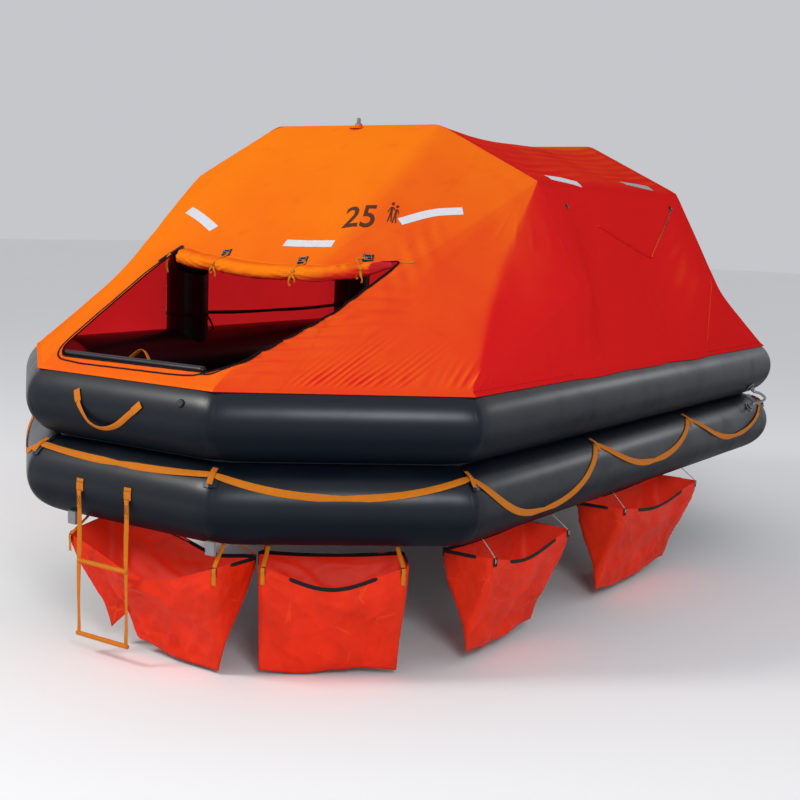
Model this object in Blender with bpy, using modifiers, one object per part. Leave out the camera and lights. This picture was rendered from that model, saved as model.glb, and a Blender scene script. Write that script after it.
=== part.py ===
"""Inflatable life raft for 25 people, with two stacked buoyancy tubes, a canopy on two arches,
hanging ballast bags and a boarding ladder at each end. Metres, +Z up, +Y along the raft, the
empty raft's waterline at Z 0 and the middle of its plan at X 0, Y 0."""

import math

import bmesh
import bpy
from mathutils import Matrix, Vector

# Hull: an elongated octagon of two round tubes, one on the other.
HALF_LENGTH = 2.66
HALF_WIDTH = 1.47
CORNER_ACROSS = 0.90
CORNER_ALONG = 0.76
TUBE_RADIUS = 0.185
DRAFT = 0.05
GAP = 0.0003
LOWER_Z = TUBE_RADIUS - DRAFT
UPPER_Z = LOWER_Z + 2 * TUBE_RADIUS + GAP
TUBE_SIDES = 48
# Sides of the octagon, counter-clockwise seen from above.
NEAR_CORNER, RIGHT_SIDE, FAR_RIGHT_CORNER, FAR_END = range(4)
FAR_CORNER, LEFT_SIDE, NEAR_LEFT_CORNER, NEAR_END = range(4, 8)

# Inflated floor slab, held by its top edge against the lower tube's inner side.
FLOOR_BOTTOM = 0.02 - DRAFT
FLOOR_TOP = 0.07 - DRAFT

# Arches: half the centreline in its upright plane, as (x, z) from the foot up to the crown.
ARCH_RADIUS = 0.125
ARCH_Y = 0.844
ARCH_SIDES = 32
ARCH_HALF = ((1.258, UPPER_Z), (1.258, 1.050), (1.030, 1.503), (0.509, 1.752))

# Canopy cloth: its inner face lies this far outside the arches' centrelines.
CREST_Y = 0.886
CREST_RISE = 0.133
CLOTH = 0.006
HEM_ANGLE = math.radians(46.6)
WRAP_ANGLE = math.radians(56.0)
HEM_LIFT = 0.0006
ROOF_SAG = 0.05
SIDE_SAG = 0.03
LEG_RIDGE = (0.78, 0.22)
# The heart of each end's cabin, towards which the cloth sags.
CABIN_HEART = (0.0, -1.0, 0.6)

# Doorway in an end panel, seen along the raft as (x, z), from its lower left corner round to the
# right and back along the top, and the radius of the door cloth that is rolled up under that top.
DOOR_SILL = ((-0.525, 0.740), (-0.470, 0.700), (0.440, 0.705), (0.550, 0.745), (0.625, 0.830),
             (0.735, 0.970), (0.790, 1.090), (0.835, 1.200))
DOOR_HEAD = ((0.835, 1.200), (0.550, 1.158), (0.270, 1.150), (-0.120, 1.170), (-0.405, 1.210))
ROLL_RADIUS = 0.046
ROLL_END_INSET = 0.10
ROLL_DROP = 0.0074

# Webbing: its thickness, and the widths of the lines, the grab straps and the sill handles.
WEB = 0.003
LINE_WIDTH = 0.034
GRAB_WIDTH = 0.028
HANDLE_WIDTH = 0.024
INNER_LINE_WIDTH = 0.022
LIFELINE_TOP = 52
# Lifeline spans round the hull: (side, share of the side at the start and at the end, lowest angle).
LIFELINE_SPANS = (
    (NEAR_CORNER, 0, 1, 19), (RIGHT_SIDE, 0, 1 / 3, -27), (RIGHT_SIDE, 1 / 3, 2 / 3, -4),
    (RIGHT_SIDE, 2 / 3, 1, -7), (FAR_RIGHT_CORNER, 0, 1, 10), (FAR_END, 0, 1, 42),
    (FAR_CORNER, 0, 1, 19), (LEFT_SIDE, 0, 1 / 3, -27), (LEFT_SIDE, 1 / 3, 2 / 3, -4),
    (LEFT_SIDE, 2 / 3, 1, -7), (NEAR_LEFT_CORNER, 0, 1, 10), (NEAR_END, 0, 1, 42),
)
# Steps of even angle along a span, down to its middle and up again.
SPAN_STEPS = 10
# A grab strap on the upper tube's end face, as (x, z).
GRAB_STRAP = ((-0.225, 0.560), (-0.195, 0.500), (-0.135, 0.437), (-0.060, 0.418), (0.030, 0.440),
              (0.110, 0.495), (0.165, 0.540))
# A handle on the tube just inside the doorway, as (x, height over the tube).
SILL_HANDLE = ((-0.205, 0.0), (-0.165, 0.035), (-0.115, 0.052), (-0.065, 0.035), (-0.015, 0.0))
SILL_HANDLE_ANGLE = math.radians(112)
INNER_LINE_Z = 0.78

# Boarding ladder, hung from two webbing loops on the lower tube's end face.
LADDER_X = (-0.200, 0.105)
LADDER_AXIS = (-(HALF_LENGTH + 0.0045), 0.110)
LADDER_EYE_RADIUS = 0.004
LADDER_EYE_WIDTH = 0.026
LADDER_STRAP_WIDTH = 0.024
RUNG_RADIUS = 0.011
RUNG_Z = (-0.213, -0.560)
# The loops that carry it, as angles up the tube: the lowest one ends just over the strap's eye.
LOOP_ANGLES = (-6.4, 2.4, 11.2, 20.0)
LOOP_WIDTH = 0.044

# Ballast bags: (name, side, place along the side from its middle, width at the hem and at the
# bottom, height of the bottom). Each hangs under the lower tube by four straps.
BAGS = (
    ("near_end_ballast_bag", NEAR_END, 0.08, 0.94, 0.80, -0.62),
    ("near_corner_ballast_bag", NEAR_CORNER, -0.01, 0.62, 0.60, -0.65),
    ("right_fore_ballast_bag", RIGHT_SIDE, -1.22, 0.78, 0.66, -0.61),
    ("right_aft_ballast_bag", RIGHT_SIDE, 0.30, 1.08, 0.98, -0.61),
    ("far_end_ballast_bag", FAR_END, 0.08, 0.94, 0.80, -0.62),
    ("far_corner_ballast_bag", FAR_CORNER, -0.01, 0.62, 0.60, -0.65),
    ("left_aft_ballast_bag", LEFT_SIDE, -1.22, 0.78, 0.66, -0.61),
    ("left_fore_ballast_bag", LEFT_SIDE, 0.30, 1.08, 0.98, -0.61),
)
BAG_HEM_Z = -0.115
BAG_HALF_DEPTH = 0.135
BAG_FOOT_DEPTH = 0.018
BAG_FRONT_DIP = 0.055
BAG_BACK_DIP = 0.012
# Under its full-width top a bag narrows to its foot: how far down the top goes, what is left of
# the hem's dip there, and the share of the depth and the drop below the middle where it waists.
BAG_SHOULDER = 0.14
BAG_SHOULDER_DIP = 0.02
BAG_WAIST = 0.62
BAG_WAIST_DROP = 0.05
BAG_CLOTH = 0.004
BAG_STRAP = 0.024
# Points of bag_ring's line from which a strap goes up to the tube.
BAG_STRAP_STARTS = (0, 4, 7, 11)

# Top light on the near crest: (radius, z over the cloth), and its x.
LIGHT_PROFILE = ((0.0, 0.037), (0.006, 0.037), (0.010, 0.033), (0.011, 0.026), (0.011, 0.008),
                 (0.020, 0.006), (0.020, 0.0), (0.0, 0.0))
LIGHT_X = 0.02

# Gas cylinder under the floor, as (radius, distance along it from its foot), and its two bands.
CYLINDER_PROFILE = ((0.0, 0.0), (0.055, 0.0), (0.082, 0.016), (0.090, 0.045), (0.090, 0.520),
                    (0.080, 0.565), (0.050, 0.600), (0.024, 0.615), (0.024, 0.640), (0.017, 0.640),
                    (0.017, 0.690), (0.0, 0.690))
CYLINDER_AT = (0.62, 0.55)
BAND_ALONG = (0.14, 0.42)
BAND_WIDTH = 0.045
BAND_SIDES = 32

# Inlet valves in the crease between the tubes at the far end of the right side.
VALVE_PLACE = 0.93
VALVE_ANGLE = 40
VALVE_PROFILE = ((0.0, 0.030), (0.013, 0.030), (0.013, 0.016), (0.021, 0.014), (0.021, 0.005),
                 (0.032, 0.004), (0.032, 0.0), (0.0, 0.0))
HOSE_RADIUS = 0.009
HOSE_STEPS = 12
# How far the hose swings out from the tubes and along them, and how far it leaves a valve straight.
HOSE_SWING = (0.075, 0.020)
HOSE_LEAD = 0.012
RELIEF_PROFILE = ((0.0, 0.007), (0.014, 0.007), (0.019, 0.004), (0.019, 0.0), (0.0, 0.0))
# Relief valves: (name, side, share of the side, tube height, angle).
RELIEF_VALVES = (
    ("upper_relief_valve", NEAR_END, 0.86, UPPER_Z, 24),
    ("lower_relief_valve", FAR_END, 0.86, LOWER_Z, 24),
)
PAINTER_PATCH = (0.14, 0.008, 0.12)
PAINTER_X = -0.25
BATTERY_SIZE = (0.050, 0.016, 0.060)
# How far towards the end a battery hangs from under the tube's middle.
BATTERY_OUT = 0.12
# Water-activated batteries of the lights: (name, x).
BATTERIES = (("outer_light_battery", -0.32), ("inner_light_battery", 0.545))

COLOURS = {
    "tube": ((0.030, 0.034, 0.042), 0.38, 0.0),
    "canopy": ((0.86, 0.17, 0.02), 0.62, 0.0),
    "bag": ((0.80, 0.09, 0.02), 0.55, 0.0),
    "webbing": ((0.78, 0.30, 0.03), 0.70, 0.0),
    "dark_webbing": ((0.02, 0.02, 0.022), 0.75, 0.0),
    "dark_plastic": ((0.02, 0.02, 0.022), 0.40, 0.0),
    "floor": ((0.05, 0.05, 0.055), 0.60, 0.0),
    "steel": ((0.45, 0.47, 0.48), 0.35, 1.0),
    "plastic": ((0.75, 0.76, 0.78), 0.35, 0.0),
    "hose": ((0.42, 0.43, 0.45), 0.50, 0.0),
}


def clear_scene():
    for item in list(bpy.data.objects):
        bpy.data.objects.remove(item, do_unlink=True)


def new_collection(name):
    group = bpy.data.collections.new(name)
    bpy.context.scene.collection.children.link(group)
    return group


def finish_of(name, kind):
    """A node's own material in one of the raft's finishes."""
    colour, roughness, metallic = COLOURS[kind]
    finish = bpy.data.materials.new(name + "_" + kind)
    finish.use_nodes = True
    shader = finish.node_tree.nodes["Principled BSDF"]
    shader.inputs["Base Color"].default_value = (*colour, 1.0)
    shader.inputs["Roughness"].default_value = roughness
    shader.inputs["Metallic"].default_value = metallic
    return finish


def place(name, bm, kind, group, smooth=40.0):
    """The bmesh as a named object with its own finish."""
    mesh = bpy.data.meshes.new(name)
    bm.to_mesh(mesh)
    bm.free()
    mesh.shade_smooth()
    mesh.set_sharp_from_angle(angle=math.radians(smooth))
    piece = bpy.data.objects.new(name, mesh)
    mesh.materials.append(finish_of(name, kind))
    group.objects.link(piece)
    return piece


def thicken(piece, thickness, outward=True):
    shell = piece.modifiers.new("thickness", "SOLIDIFY")
    shell.thickness = thickness
    shell.offset = 1.0 if outward else -1.0
    shell.use_even_offset = True


def merge(piece, other, operation):
    """Cuts the other solid from the piece, or joins it on."""
    other.hide_render = True
    other.display_type = "WIRE"
    change = piece.modifiers.new(operation.lower(), "BOOLEAN")
    change.operation = operation
    change.solver = "EXACT"
    change.object = other


def half_turned(bm):
    """The same piece at the other end of the raft, turned half round the upright axis."""
    bmesh.ops.rotate(bm, cent=(0, 0, 0), matrix=Matrix.Rotation(math.pi, 3, "Z"), verts=bm.verts)
    return bm


def moved_line(points, distance, closed):
    """A flat line moved by a distance to its right, with mitred corners."""
    count = len(points)
    line = [Vector(p) for p in points]
    moved = []
    for i, point in enumerate(line):
        before = (point - line[i - 1]).normalized() if closed or i > 0 else None
        after = (line[(i + 1) % count] - point).normalized() if closed or i < count - 1 else None
        before, after = before or after, after or before
        normals = [Vector((d.y, -d.x)) for d in (before, after)]
        share = 1 + normals[0].dot(normals[1])
        moved.append(point + (normals[0] + normals[1]) * (distance / share))
    return moved


def outline(inset):
    """The hull's eight plan corners, counter-clockwise from the near end's right, moved inwards."""
    near = [(HALF_WIDTH - CORNER_ACROSS, -HALF_LENGTH), (HALF_WIDTH, -(HALF_LENGTH - CORNER_ALONG))]
    right = near + [(x, -y) for x, y in reversed(near)]
    corners = right + [(-x, y) for x, y in reversed(right)]
    return moved_line(corners, -inset, closed=True)


def side_frame(side):
    """Unit vectors along a side and out of it."""
    corners = outline(0)
    along = (corners[(side + 1) % 8] - corners[side]).normalized()
    return Vector((*along, 0)), Vector((along.y, -along.x, 0))


def on_tube(side, share, angle, centre_z, radius=TUBE_RADIUS):
    """A point round a hull tube: a share along the side, and an angle up from the outermost line."""
    corners = outline(TUBE_RADIUS - radius * math.cos(angle))
    plan = corners[side].lerp(corners[(side + 1) % 8], share)
    return Vector((*plan, centre_z + radius * math.sin(angle)))


def mitred_tube(points, radius, up, closed, sides):
    """Cylinder legs, their ends slid along them to the mitre planes and welded."""
    bm = bmesh.new()
    count = len(points)
    legs = count if closed else count - 1
    direction = [(points[(i + 1) % count] - points[i]).normalized() for i in range(legs)]
    for i in range(legs):
        start, end, along = points[i], points[(i + 1) % count], direction[i]
        before = direction[i - 1] if closed or i > 0 else along
        after = direction[(i + 1) % legs] if closed or i < legs - 1 else along
        turn = Matrix((up, along.cross(up), along)).transposed().to_4x4()
        middle = (start + end) / 2
        leg = bmesh.ops.create_cone(
            bm, cap_ends=False, segments=sides, radius1=radius, radius2=radius,
            depth=(end - start).length, matrix=Matrix.Translation(middle) @ turn)
        for vert in leg["verts"]:
            at_start = (vert.co - middle).dot(along) < 0
            corner = start if at_start else end
            mitre = along + (before if at_start else after)
            vert.co -= along * ((vert.co - corner).dot(mitre) / along.dot(mitre))
    bmesh.ops.remove_doubles(bm, verts=bm.verts, dist=1e-5)
    open_ends = [edge for edge in bm.edges if edge.is_boundary]
    bmesh.ops.holes_fill(bm, edges=open_ends, sides=sides)
    bmesh.ops.recalc_face_normals(bm, faces=bm.faces)
    return bm


def faced(bm, facing):
    """Turns an open surface's faces to the side that a function of a face's middle gives."""
    bmesh.ops.recalc_face_normals(bm, faces=bm.faces)
    if sum(face.normal.dot(facing(face.calc_center_median())) for face in bm.faces) < 0:
        bmesh.ops.reverse_faces(bm, faces=bm.faces)
    return bm


def sheet(rows, facing, closed=False):
    """An open surface through rows of points. Points that fall together are welded."""
    bm = bmesh.new()
    verts = [[bm.verts.new(point) for point in row] for row in rows]
    across = len(rows[0])
    down = len(rows) if closed else len(rows) - 1
    for i in range(down):
        below = verts[(i + 1) % len(rows)]
        for j in range(across - 1):
            bm.faces.new((verts[i][j], verts[i][j + 1], below[j + 1], below[j]))
    bmesh.ops.remove_doubles(bm, verts=bm.verts, dist=1e-5)
    return faced(bm, facing)


def turned(profile, matrix, steps):
    """A (radius, height) profile turned round its own axis, as a closed mesh."""
    bm = bmesh.new()
    verts = [bm.verts.new((radius, 0, height)) for radius, height in profile]
    edges = [bm.edges.new(pair) for pair in zip(verts, verts[1:])]
    bmesh.ops.spin(bm, geom=verts + edges, axis=(0, 0, 1), cent=(0, 0, 0), angle=2 * math.pi,
                   steps=steps, use_merge=True)
    bmesh.ops.remove_doubles(bm, verts=bm.verts, dist=1e-5)
    bmesh.ops.recalc_face_normals(bm, faces=bm.faces)
    bmesh.ops.transform(bm, matrix=matrix, verts=bm.verts)
    return bm


def box(size, middle):
    bm = bmesh.new()
    bmesh.ops.create_cube(bm, size=1.0)
    bmesh.ops.scale(bm, vec=size, verts=bm.verts)
    bmesh.ops.translate(bm, vec=middle, verts=bm.verts)
    return bm


def rod(radius, start, end, sides):
    """A capped cylinder between two points."""
    along = end - start
    bm = bmesh.new()
    turn = along.to_track_quat("Z", "Y").to_matrix().to_4x4()
    bmesh.ops.create_cone(bm, cap_ends=True, segments=sides, radius1=radius, radius2=radius,
                          depth=along.length, matrix=Matrix.Translation((start + end) / 2) @ turn)
    return bm


def add_pipe(name, path, radius, resolution, kind, group):
    """A round, capped length along a line of points."""
    curve = bpy.data.curves.new(name, "CURVE")
    curve.dimensions = "3D"
    curve.bevel_depth = radius
    curve.bevel_resolution = resolution
    curve.use_fill_caps = True
    spline = curve.splines.new("POLY")
    spline.points.add(len(path) - 1)
    for point, at in zip(spline.points, path):
        point.co = (*at, 1)
    curve.materials.append(finish_of(name, kind))
    pipe = bpy.data.objects.new(name, curve)
    group.objects.link(pipe)
    return pipe


def add_hull(group):
    for name, height in (("lower_buoyancy_tube", LOWER_Z), ("upper_buoyancy_tube", UPPER_Z)):
        ring = [Vector((*corner, height)) for corner in outline(TUBE_RADIUS)]
        place(name, mitred_tube(ring, TUBE_RADIUS, Vector((0, 0, 1)), True, TUBE_SIDES), "tube", group)


def add_floor(group):
    reach = TUBE_RADIUS + math.sqrt(TUBE_RADIUS**2 - (LOWER_Z - FLOOR_TOP) ** 2) + GAP
    curve = bpy.data.curves.new("floor", "CURVE")
    curve.dimensions = "2D"
    curve.fill_mode = "BOTH"
    curve.extrude = (FLOOR_TOP - FLOOR_BOTTOM) / 2
    spline = curve.splines.new("POLY")
    corners = outline(reach)
    spline.points.add(len(corners) - 1)
    for point, corner in zip(spline.points, corners):
        point.co = (*corner, 0, 1)
    spline.use_cyclic_u = True
    floor = bpy.data.objects.new("floor", curve)
    floor.location.z = (FLOOR_TOP + FLOOR_BOTTOM) / 2
    curve.materials.append(finish_of("floor", "floor"))
    group.objects.link(floor)


def arch_line():
    """The arch's centreline from its left foot over to its right one."""
    right = [Vector((x, z)) for x, z in ARCH_HALF]
    left = [Vector((-x, z)) for x, z in ARCH_HALF]
    return left + right[::-1]


def add_arches(group, cutters):
    for name, y in (("near_arch_tube", -ARCH_Y), ("far_arch_tube", ARCH_Y)):
        path = [Vector((p.x, y, p.y)) for p in arch_line()]
        arch = place(name, mitred_tube(path, ARCH_RADIUS, Vector((0, -1, 0)), False, ARCH_SIDES),
                     "tube", group)
        for label, x in (("left", -1), ("right", 1)):
            centre = x * (HALF_WIDTH - TUBE_RADIUS)
            seat = [Vector((centre, y - 0.3, UPPER_Z)), Vector((centre, y + 0.3, UPPER_Z))]
            saddle = mitred_tube(seat, TUBE_RADIUS + GAP, Vector((0, 0, 1)), False, TUBE_SIDES)
            merge(arch, place(name + "_" + label + "_saddle", saddle, "tube", cutters), "DIFFERENCE")


def crest_half():
    """The cloth's inner line over an arch: right half as (x, z), from the crown down the leg."""
    over = moved_line(arch_line(), -CREST_RISE, closed=False)
    return over[4:]


def hem_point(side, share, angle):
    """A point of the cloth on the upper tube. On the right side the share is of the way from the
    near corner to the arch."""
    point = on_tube(side, 0 if side == RIGHT_SIDE else share, angle, UPPER_Z, TUBE_RADIUS + HEM_LIFT)
    if side == RIGHT_SIDE:
        point.y += share * (-CREST_Y - GAP / 2 - point.y)
    return point


def end_rulings():
    """Right half of an end panel: (point on the crest, hull side, share of it at the hem, sag)."""
    crown, knee, elbow = [Vector((p.x, -CREST_Y - GAP / 2, p.y)) for p in crest_half()[:3]]
    top = Vector((0, crown.y, crown.z))
    return (
        (top, NEAR_END, 0.5, 0.0),
        (crown, NEAR_END, 1.0, 0.004),
        (crown.lerp(knee, 0.5), NEAR_END, 1.0, 0.008),
        (knee, NEAR_END, 1.0, 0.015),
        (knee, NEAR_CORNER, 0.35, 0.025),
        (knee, NEAR_CORNER, 0.7, 0.045),
        (knee, NEAR_CORNER, 1.0, 0.060),
        (knee.lerp(elbow, 0.5), RIGHT_SIDE, 0.0, 0.045),
        (elbow, RIGHT_SIDE, 0.0, 0.020),
        (elbow, RIGHT_SIDE, 0.5, 0.010),
        (elbow, RIGHT_SIDE, 1.0, 0.0),
    )


def end_rows(steps=6):
    """Rows of the end panel's inner face, each from the hem up to the crest, left to right."""
    right = []
    for crest, side, share, sag in end_rulings():
        hem, wrap = [hem_point(side, share, angle) for angle in (HEM_ANGLE, WRAP_ANGLE)]
        inward = (Vector(CABIN_HEART) - (wrap + crest) / 2).normalized()
        row = [hem]
        for k in range(steps + 1):
            rise = k / steps
            row.append(wrap.lerp(crest, rise) + inward * (math.sin(math.pi * rise) ** 2 * sag))
        right.append(row)
    left = [[Vector((-p.x, p.y, p.z)) for p in row] for row in right[:0:-1]]
    return left + right


def add_end_panels(group, cutters):
    doorway = DOOR_SILL + DOOR_HEAD[1:]
    for name, turn in (("near_end_canopy", False), ("far_end_canopy", True)):
        panel = sheet(end_rows(), lambda p: p - Vector(CABIN_HEART))
        bm = bmesh.new()
        face = bm.faces.new([bm.verts.new((x, -CREST_Y - 0.15, z)) for x, z in doorway])
        prism = bmesh.ops.extrude_face_region(bm, geom=[face])
        moved = [item for item in prism["geom"] if isinstance(item, bmesh.types.BMVert)]
        bmesh.ops.translate(bm, vec=(0, -HALF_LENGTH, 0), verts=moved)
        bmesh.ops.recalc_face_normals(bm, faces=bm.faces)
        if turn:
            half_turned(panel)
            half_turned(bm)
        piece = place(name, panel, "canopy", group)
        thicken(piece, CLOTH)
        merge(piece, place(name + "_doorway", bm, "canopy", cutters), "DIFFERENCE")


def add_roof(group):
    crown, knee = crest_half()[:2]
    edge = knee + (crown - knee).normalized() * (GAP / 2)
    middle = (crown + edge) / 2
    half = (Vector((0, crown.y)), crown, middle, edge)
    across = [Vector((-p.x, p.y)) for p in half[:0:-1]] + list(half)
    sags = [0.0, 0.5, 0.9, 1.0, 0.9, 0.5, 0.0]
    rows = []
    for k in range(9):
        y = (CREST_Y - GAP / 2) * (k / 4 - 1)
        dip = ROOF_SAG * (1 - (y / CREST_Y) ** 2)
        rows.append([Vector((p.x, y, p.y - dip * share)) for p, share in zip(across, sags)])
    roof = sheet(rows, lambda p: Vector((0, 0, 1)))
    thicken(place("roof_canopy", roof, "canopy", group), CLOTH)


def add_side_panels(group):
    crown, knee, elbow = crest_half()[:3]
    edge = knee + (elbow - knee).normalized() * (GAP / 2)
    hem, wrap = [hem_point(RIGHT_SIDE, 0.5, angle) for angle in (HEM_ANGLE, WRAP_ANGLE)]
    wrap2 = Vector((wrap.x, wrap.z))
    section = [edge, edge.lerp(elbow, 0.5), elbow, elbow.lerp(wrap2, 0.5), wrap2]
    full = (edge - wrap2).length
    reach, width = LEG_RIDGE
    rows = []
    for k in range(13):
        y = (CREST_Y - GAP / 2) * (k / 6 - 1)
        ridge = math.exp(-((max(0.0, reach - abs(y)) / width) ** 2))
        row = []
        for p in section:
            rise = (p - wrap2).length / full
            flat = wrap2.lerp(edge, rise)
            sag = SIDE_SAG * 4 * rise * (1 - rise)
            q = flat.lerp(p, ridge) - Vector((sag * (1 - ridge), 0))
            row.append(Vector((q.x, y, q.y)))
        row.append(Vector((hem.x, y, hem.z)))
        rows.append(row)
    for name, turn in (("right_side_canopy", False), ("left_side_canopy", True)):
        panel = sheet(rows, lambda p: Vector((1, 0, 0)))
        thicken(place(name, half_turned(panel) if turn else panel, "canopy", group), CLOTH)


def panel_y(x, z):
    """Where the near end panel's inner face lies over a point seen along the raft."""
    crown, knee = [Vector((p.x, -CREST_Y, p.y)) for p in crest_half()[:2]]
    down = hem_point(NEAR_END, 1.0, WRAP_ANGLE) - crown
    normals = [across.cross(down) for across in (Vector((1, 0, 0)), knee - crown)]
    return max(crown.y - (n.x * (x - crown.x) + n.z * (z - crown.z)) / n.y for n in normals)


def roll_line():
    """The rolled door cloth's centreline, hung in the panel's plane just under the doorway's head."""
    head = [Vector(p) for p in DOOR_HEAD]
    head[0] += (head[1] - head[0]).normalized() * ROLL_END_INSET
    head[-1] += (head[-2] - head[-1]).normalized() * ROLL_END_INSET
    edge = [Vector((p.x, panel_y(*p), p.y)) for p in head]
    step = 0.01
    line = []
    for i, at in enumerate(edge):
        along = edge[min(i + 1, len(edge) - 1)] - edge[max(i - 1, 0)]
        normal = Vector(((panel_y(at.x + step, at.z) - at.y) / step, -1,
                         (panel_y(at.x, at.z + step) - at.y) / step))
        line.append(at + normal.cross(along).normalized() * (ROLL_RADIUS + ROLL_DROP))
    return line


def add_door_rolls(group):
    path = roll_line()
    for name, turn in (("near_door_roll", False), ("far_door_roll", True)):
        roll = add_pipe(name, path, ROLL_RADIUS, 4, "canopy", group)
        roll.rotation_euler.z = math.pi if turn else 0.0


def add_lifelines(group):
    half = LINE_WIDTH / 2 / TUBE_RADIUS
    steepest = max(LIFELINE_TOP - low for side, start, end, low in LIFELINE_SPANS)
    reach = (TUBE_RADIUS + GAP) / math.cos(half + math.radians(steepest) / SPAN_STEPS)
    rows = []
    for side, start, end, low in LIFELINE_SPANS:
        for k in range(SPAN_STEPS):
            drop = 2 * k / SPAN_STEPS - 1
            angle = math.radians(low + (LIFELINE_TOP - low) * abs(drop))
            share = start + (end - start) * (1 + math.copysign(math.sqrt(abs(drop)), drop)) / 2
            rows.append([on_tube(side, share, angle + d, LOWER_Z, reach) for d in (-half, half)])
    line = sheet(rows, lambda p: Vector((p.x, p.y, 0)), closed=True)
    thicken(place("outer_lifeline", line, "webbing", group), WEB)
    size = (WEB, 2 * (ARCH_Y - ARCH_RADIUS - GAP), INNER_LINE_WIDTH)
    for label, way in (("left", -1), ("right", 1)):
        line = box(size, (way * ARCH_HALF[0][0], 0, INNER_LINE_Z))
        place(label + "_inner_lifeline", line, "dark_webbing", group)


def strap_rows(path, width, across):
    return [[p - across(i) * width / 2, p + across(i) * width / 2] for i, p in enumerate(path)]


def line_across(path):
    """For a line in an upright plane along X, the unit way across it at each point."""
    def across(i):
        before, after = path[max(i - 1, 0)], path[min(i + 1, len(path) - 1)]
        along = (after - before).normalized()
        return Vector((0, 1, 0)).cross(along)
    return across


def add_straps(group):
    plane = -(HALF_LENGTH + GAP)
    hang = [Vector((x, plane, z)) for x, z in GRAB_STRAP]
    seat = TUBE_RADIUS + GAP
    handle = []
    for x, rise in SILL_HANDLE:
        share = x / (2 * (HALF_WIDTH - CORNER_ACROSS)) + 0.5
        handle.append(on_tube(NEAR_END, share, SILL_HANDLE_ANGLE, UPPER_Z, seat + rise))
    lean = Vector((0, math.sin(SILL_HANDLE_ANGLE), math.cos(SILL_HANDLE_ANGLE)))
    for end, turn in (("near", False), ("far", True)):
        grab = sheet(strap_rows(hang, GRAB_WIDTH, line_across(hang)), lambda p: Vector((0, -1, 0)))
        grip = sheet(strap_rows(handle, HANDLE_WIDTH, lambda i: lean), lambda p: Vector((0, 0, 1)))
        for name, bm in ((end + "_grab_strap", grab), (end + "_sill_handle", grip)):
            thicken(place(name, half_turned(bm) if turn else bm, "webbing", group), WEB)


def add_ladder(end, turn, group, cutters):
    """Straps and rungs under an empty on the ladder's hinge axis, and the loops that carry them."""
    axis_y, axis_z = LADDER_AXIS
    pivot = bpy.data.objects.new(end + "_ladder_pivot", None)
    group.objects.link(pivot)
    pivot.location = (0, -axis_y if turn else axis_y, axis_z)
    pivot.rotation_euler.z = math.pi if turn else 0.0
    half = Vector((LADDER_EYE_WIDTH / 2, 0, 0))
    bottom = RUNG_Z[1] - RUNG_RADIUS - axis_z
    for label, x in zip(("left", "right"), LADDER_X):
        name = end + "_ladder_" + label
        top = Vector((x, 0, 0))
        eye = place(name + "_strap", rod(LADDER_EYE_RADIUS, top - half, top + half, 16), "webbing", group)
        web = box((LADDER_STRAP_WIDTH, WEB, -bottom), (x, 0, bottom / 2))
        tongue = place(name + "_web", web, "webbing", cutters)
        eye.parent = tongue.parent = pivot
        merge(eye, tongue, "UNION")
        add_ladder_loop(name + "_loop", x, turn, group)
    left, right = [x - math.copysign(LADDER_STRAP_WIDTH / 2 + GAP, x) for x in LADDER_X]
    for label, z in zip(("upper", "lower"), RUNG_Z):
        bar = rod(RUNG_RADIUS, Vector((left, 0, z - axis_z)), Vector((right, 0, z - axis_z)), 16)
        place(end + "_ladder_" + label + "_rung", bar, "webbing", group).parent = pivot


def add_ladder_loop(name, x, turn, group):
    """A strap's webbing loop on the lower tube's end face."""
    side_length = 2 * (HALF_WIDTH - CORNER_ACROSS)
    shares = [(x + way * LOOP_WIDTH / 2) / side_length + 0.5 for way in (-1, 1)]
    step = math.radians(LOOP_ANGLES[1] - LOOP_ANGLES[0])
    reach = (TUBE_RADIUS + GAP) / math.cos(step / 2)
    rows = []
    for degrees in LOOP_ANGLES:
        rows.append([on_tube(NEAR_END, s, math.radians(degrees), LOWER_Z, reach) for s in shares])
    loop = sheet(rows, lambda p: Vector((0, -1, 0)))
    thicken(place(name, half_turned(loop) if turn else loop, "webbing", group), WEB)


def under_tube(point):
    """Height of the lower tube's underside over a point."""
    corners = outline(TUBE_RADIUS)
    off = max((point.xy - corners[side]).dot(side_frame(side)[1].xy) for side in range(8))
    return LOWER_Z - math.sqrt(TUBE_RADIUS**2 - off**2)


def bag_ring(width, depth, z, front_dip, back_dip):
    """Points round a bag, from its outer left corner: (along, out, z)."""
    half = width / 2
    marks = (-half, -half + BAG_STRAP, -half / 3, half / 3, half - BAG_STRAP, half)
    bow = [1 - (a / half) ** 2 for a in marks]
    outer = [(a, depth, z - front_dip * b) for a, b in zip(marks, bow)]
    inner = [(a, -depth, z - back_dip * b) for a, b in zip(marks, bow)]
    return outer + [(half, 0, z)] + inner[::-1] + [(-half, 0, z)]


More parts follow.
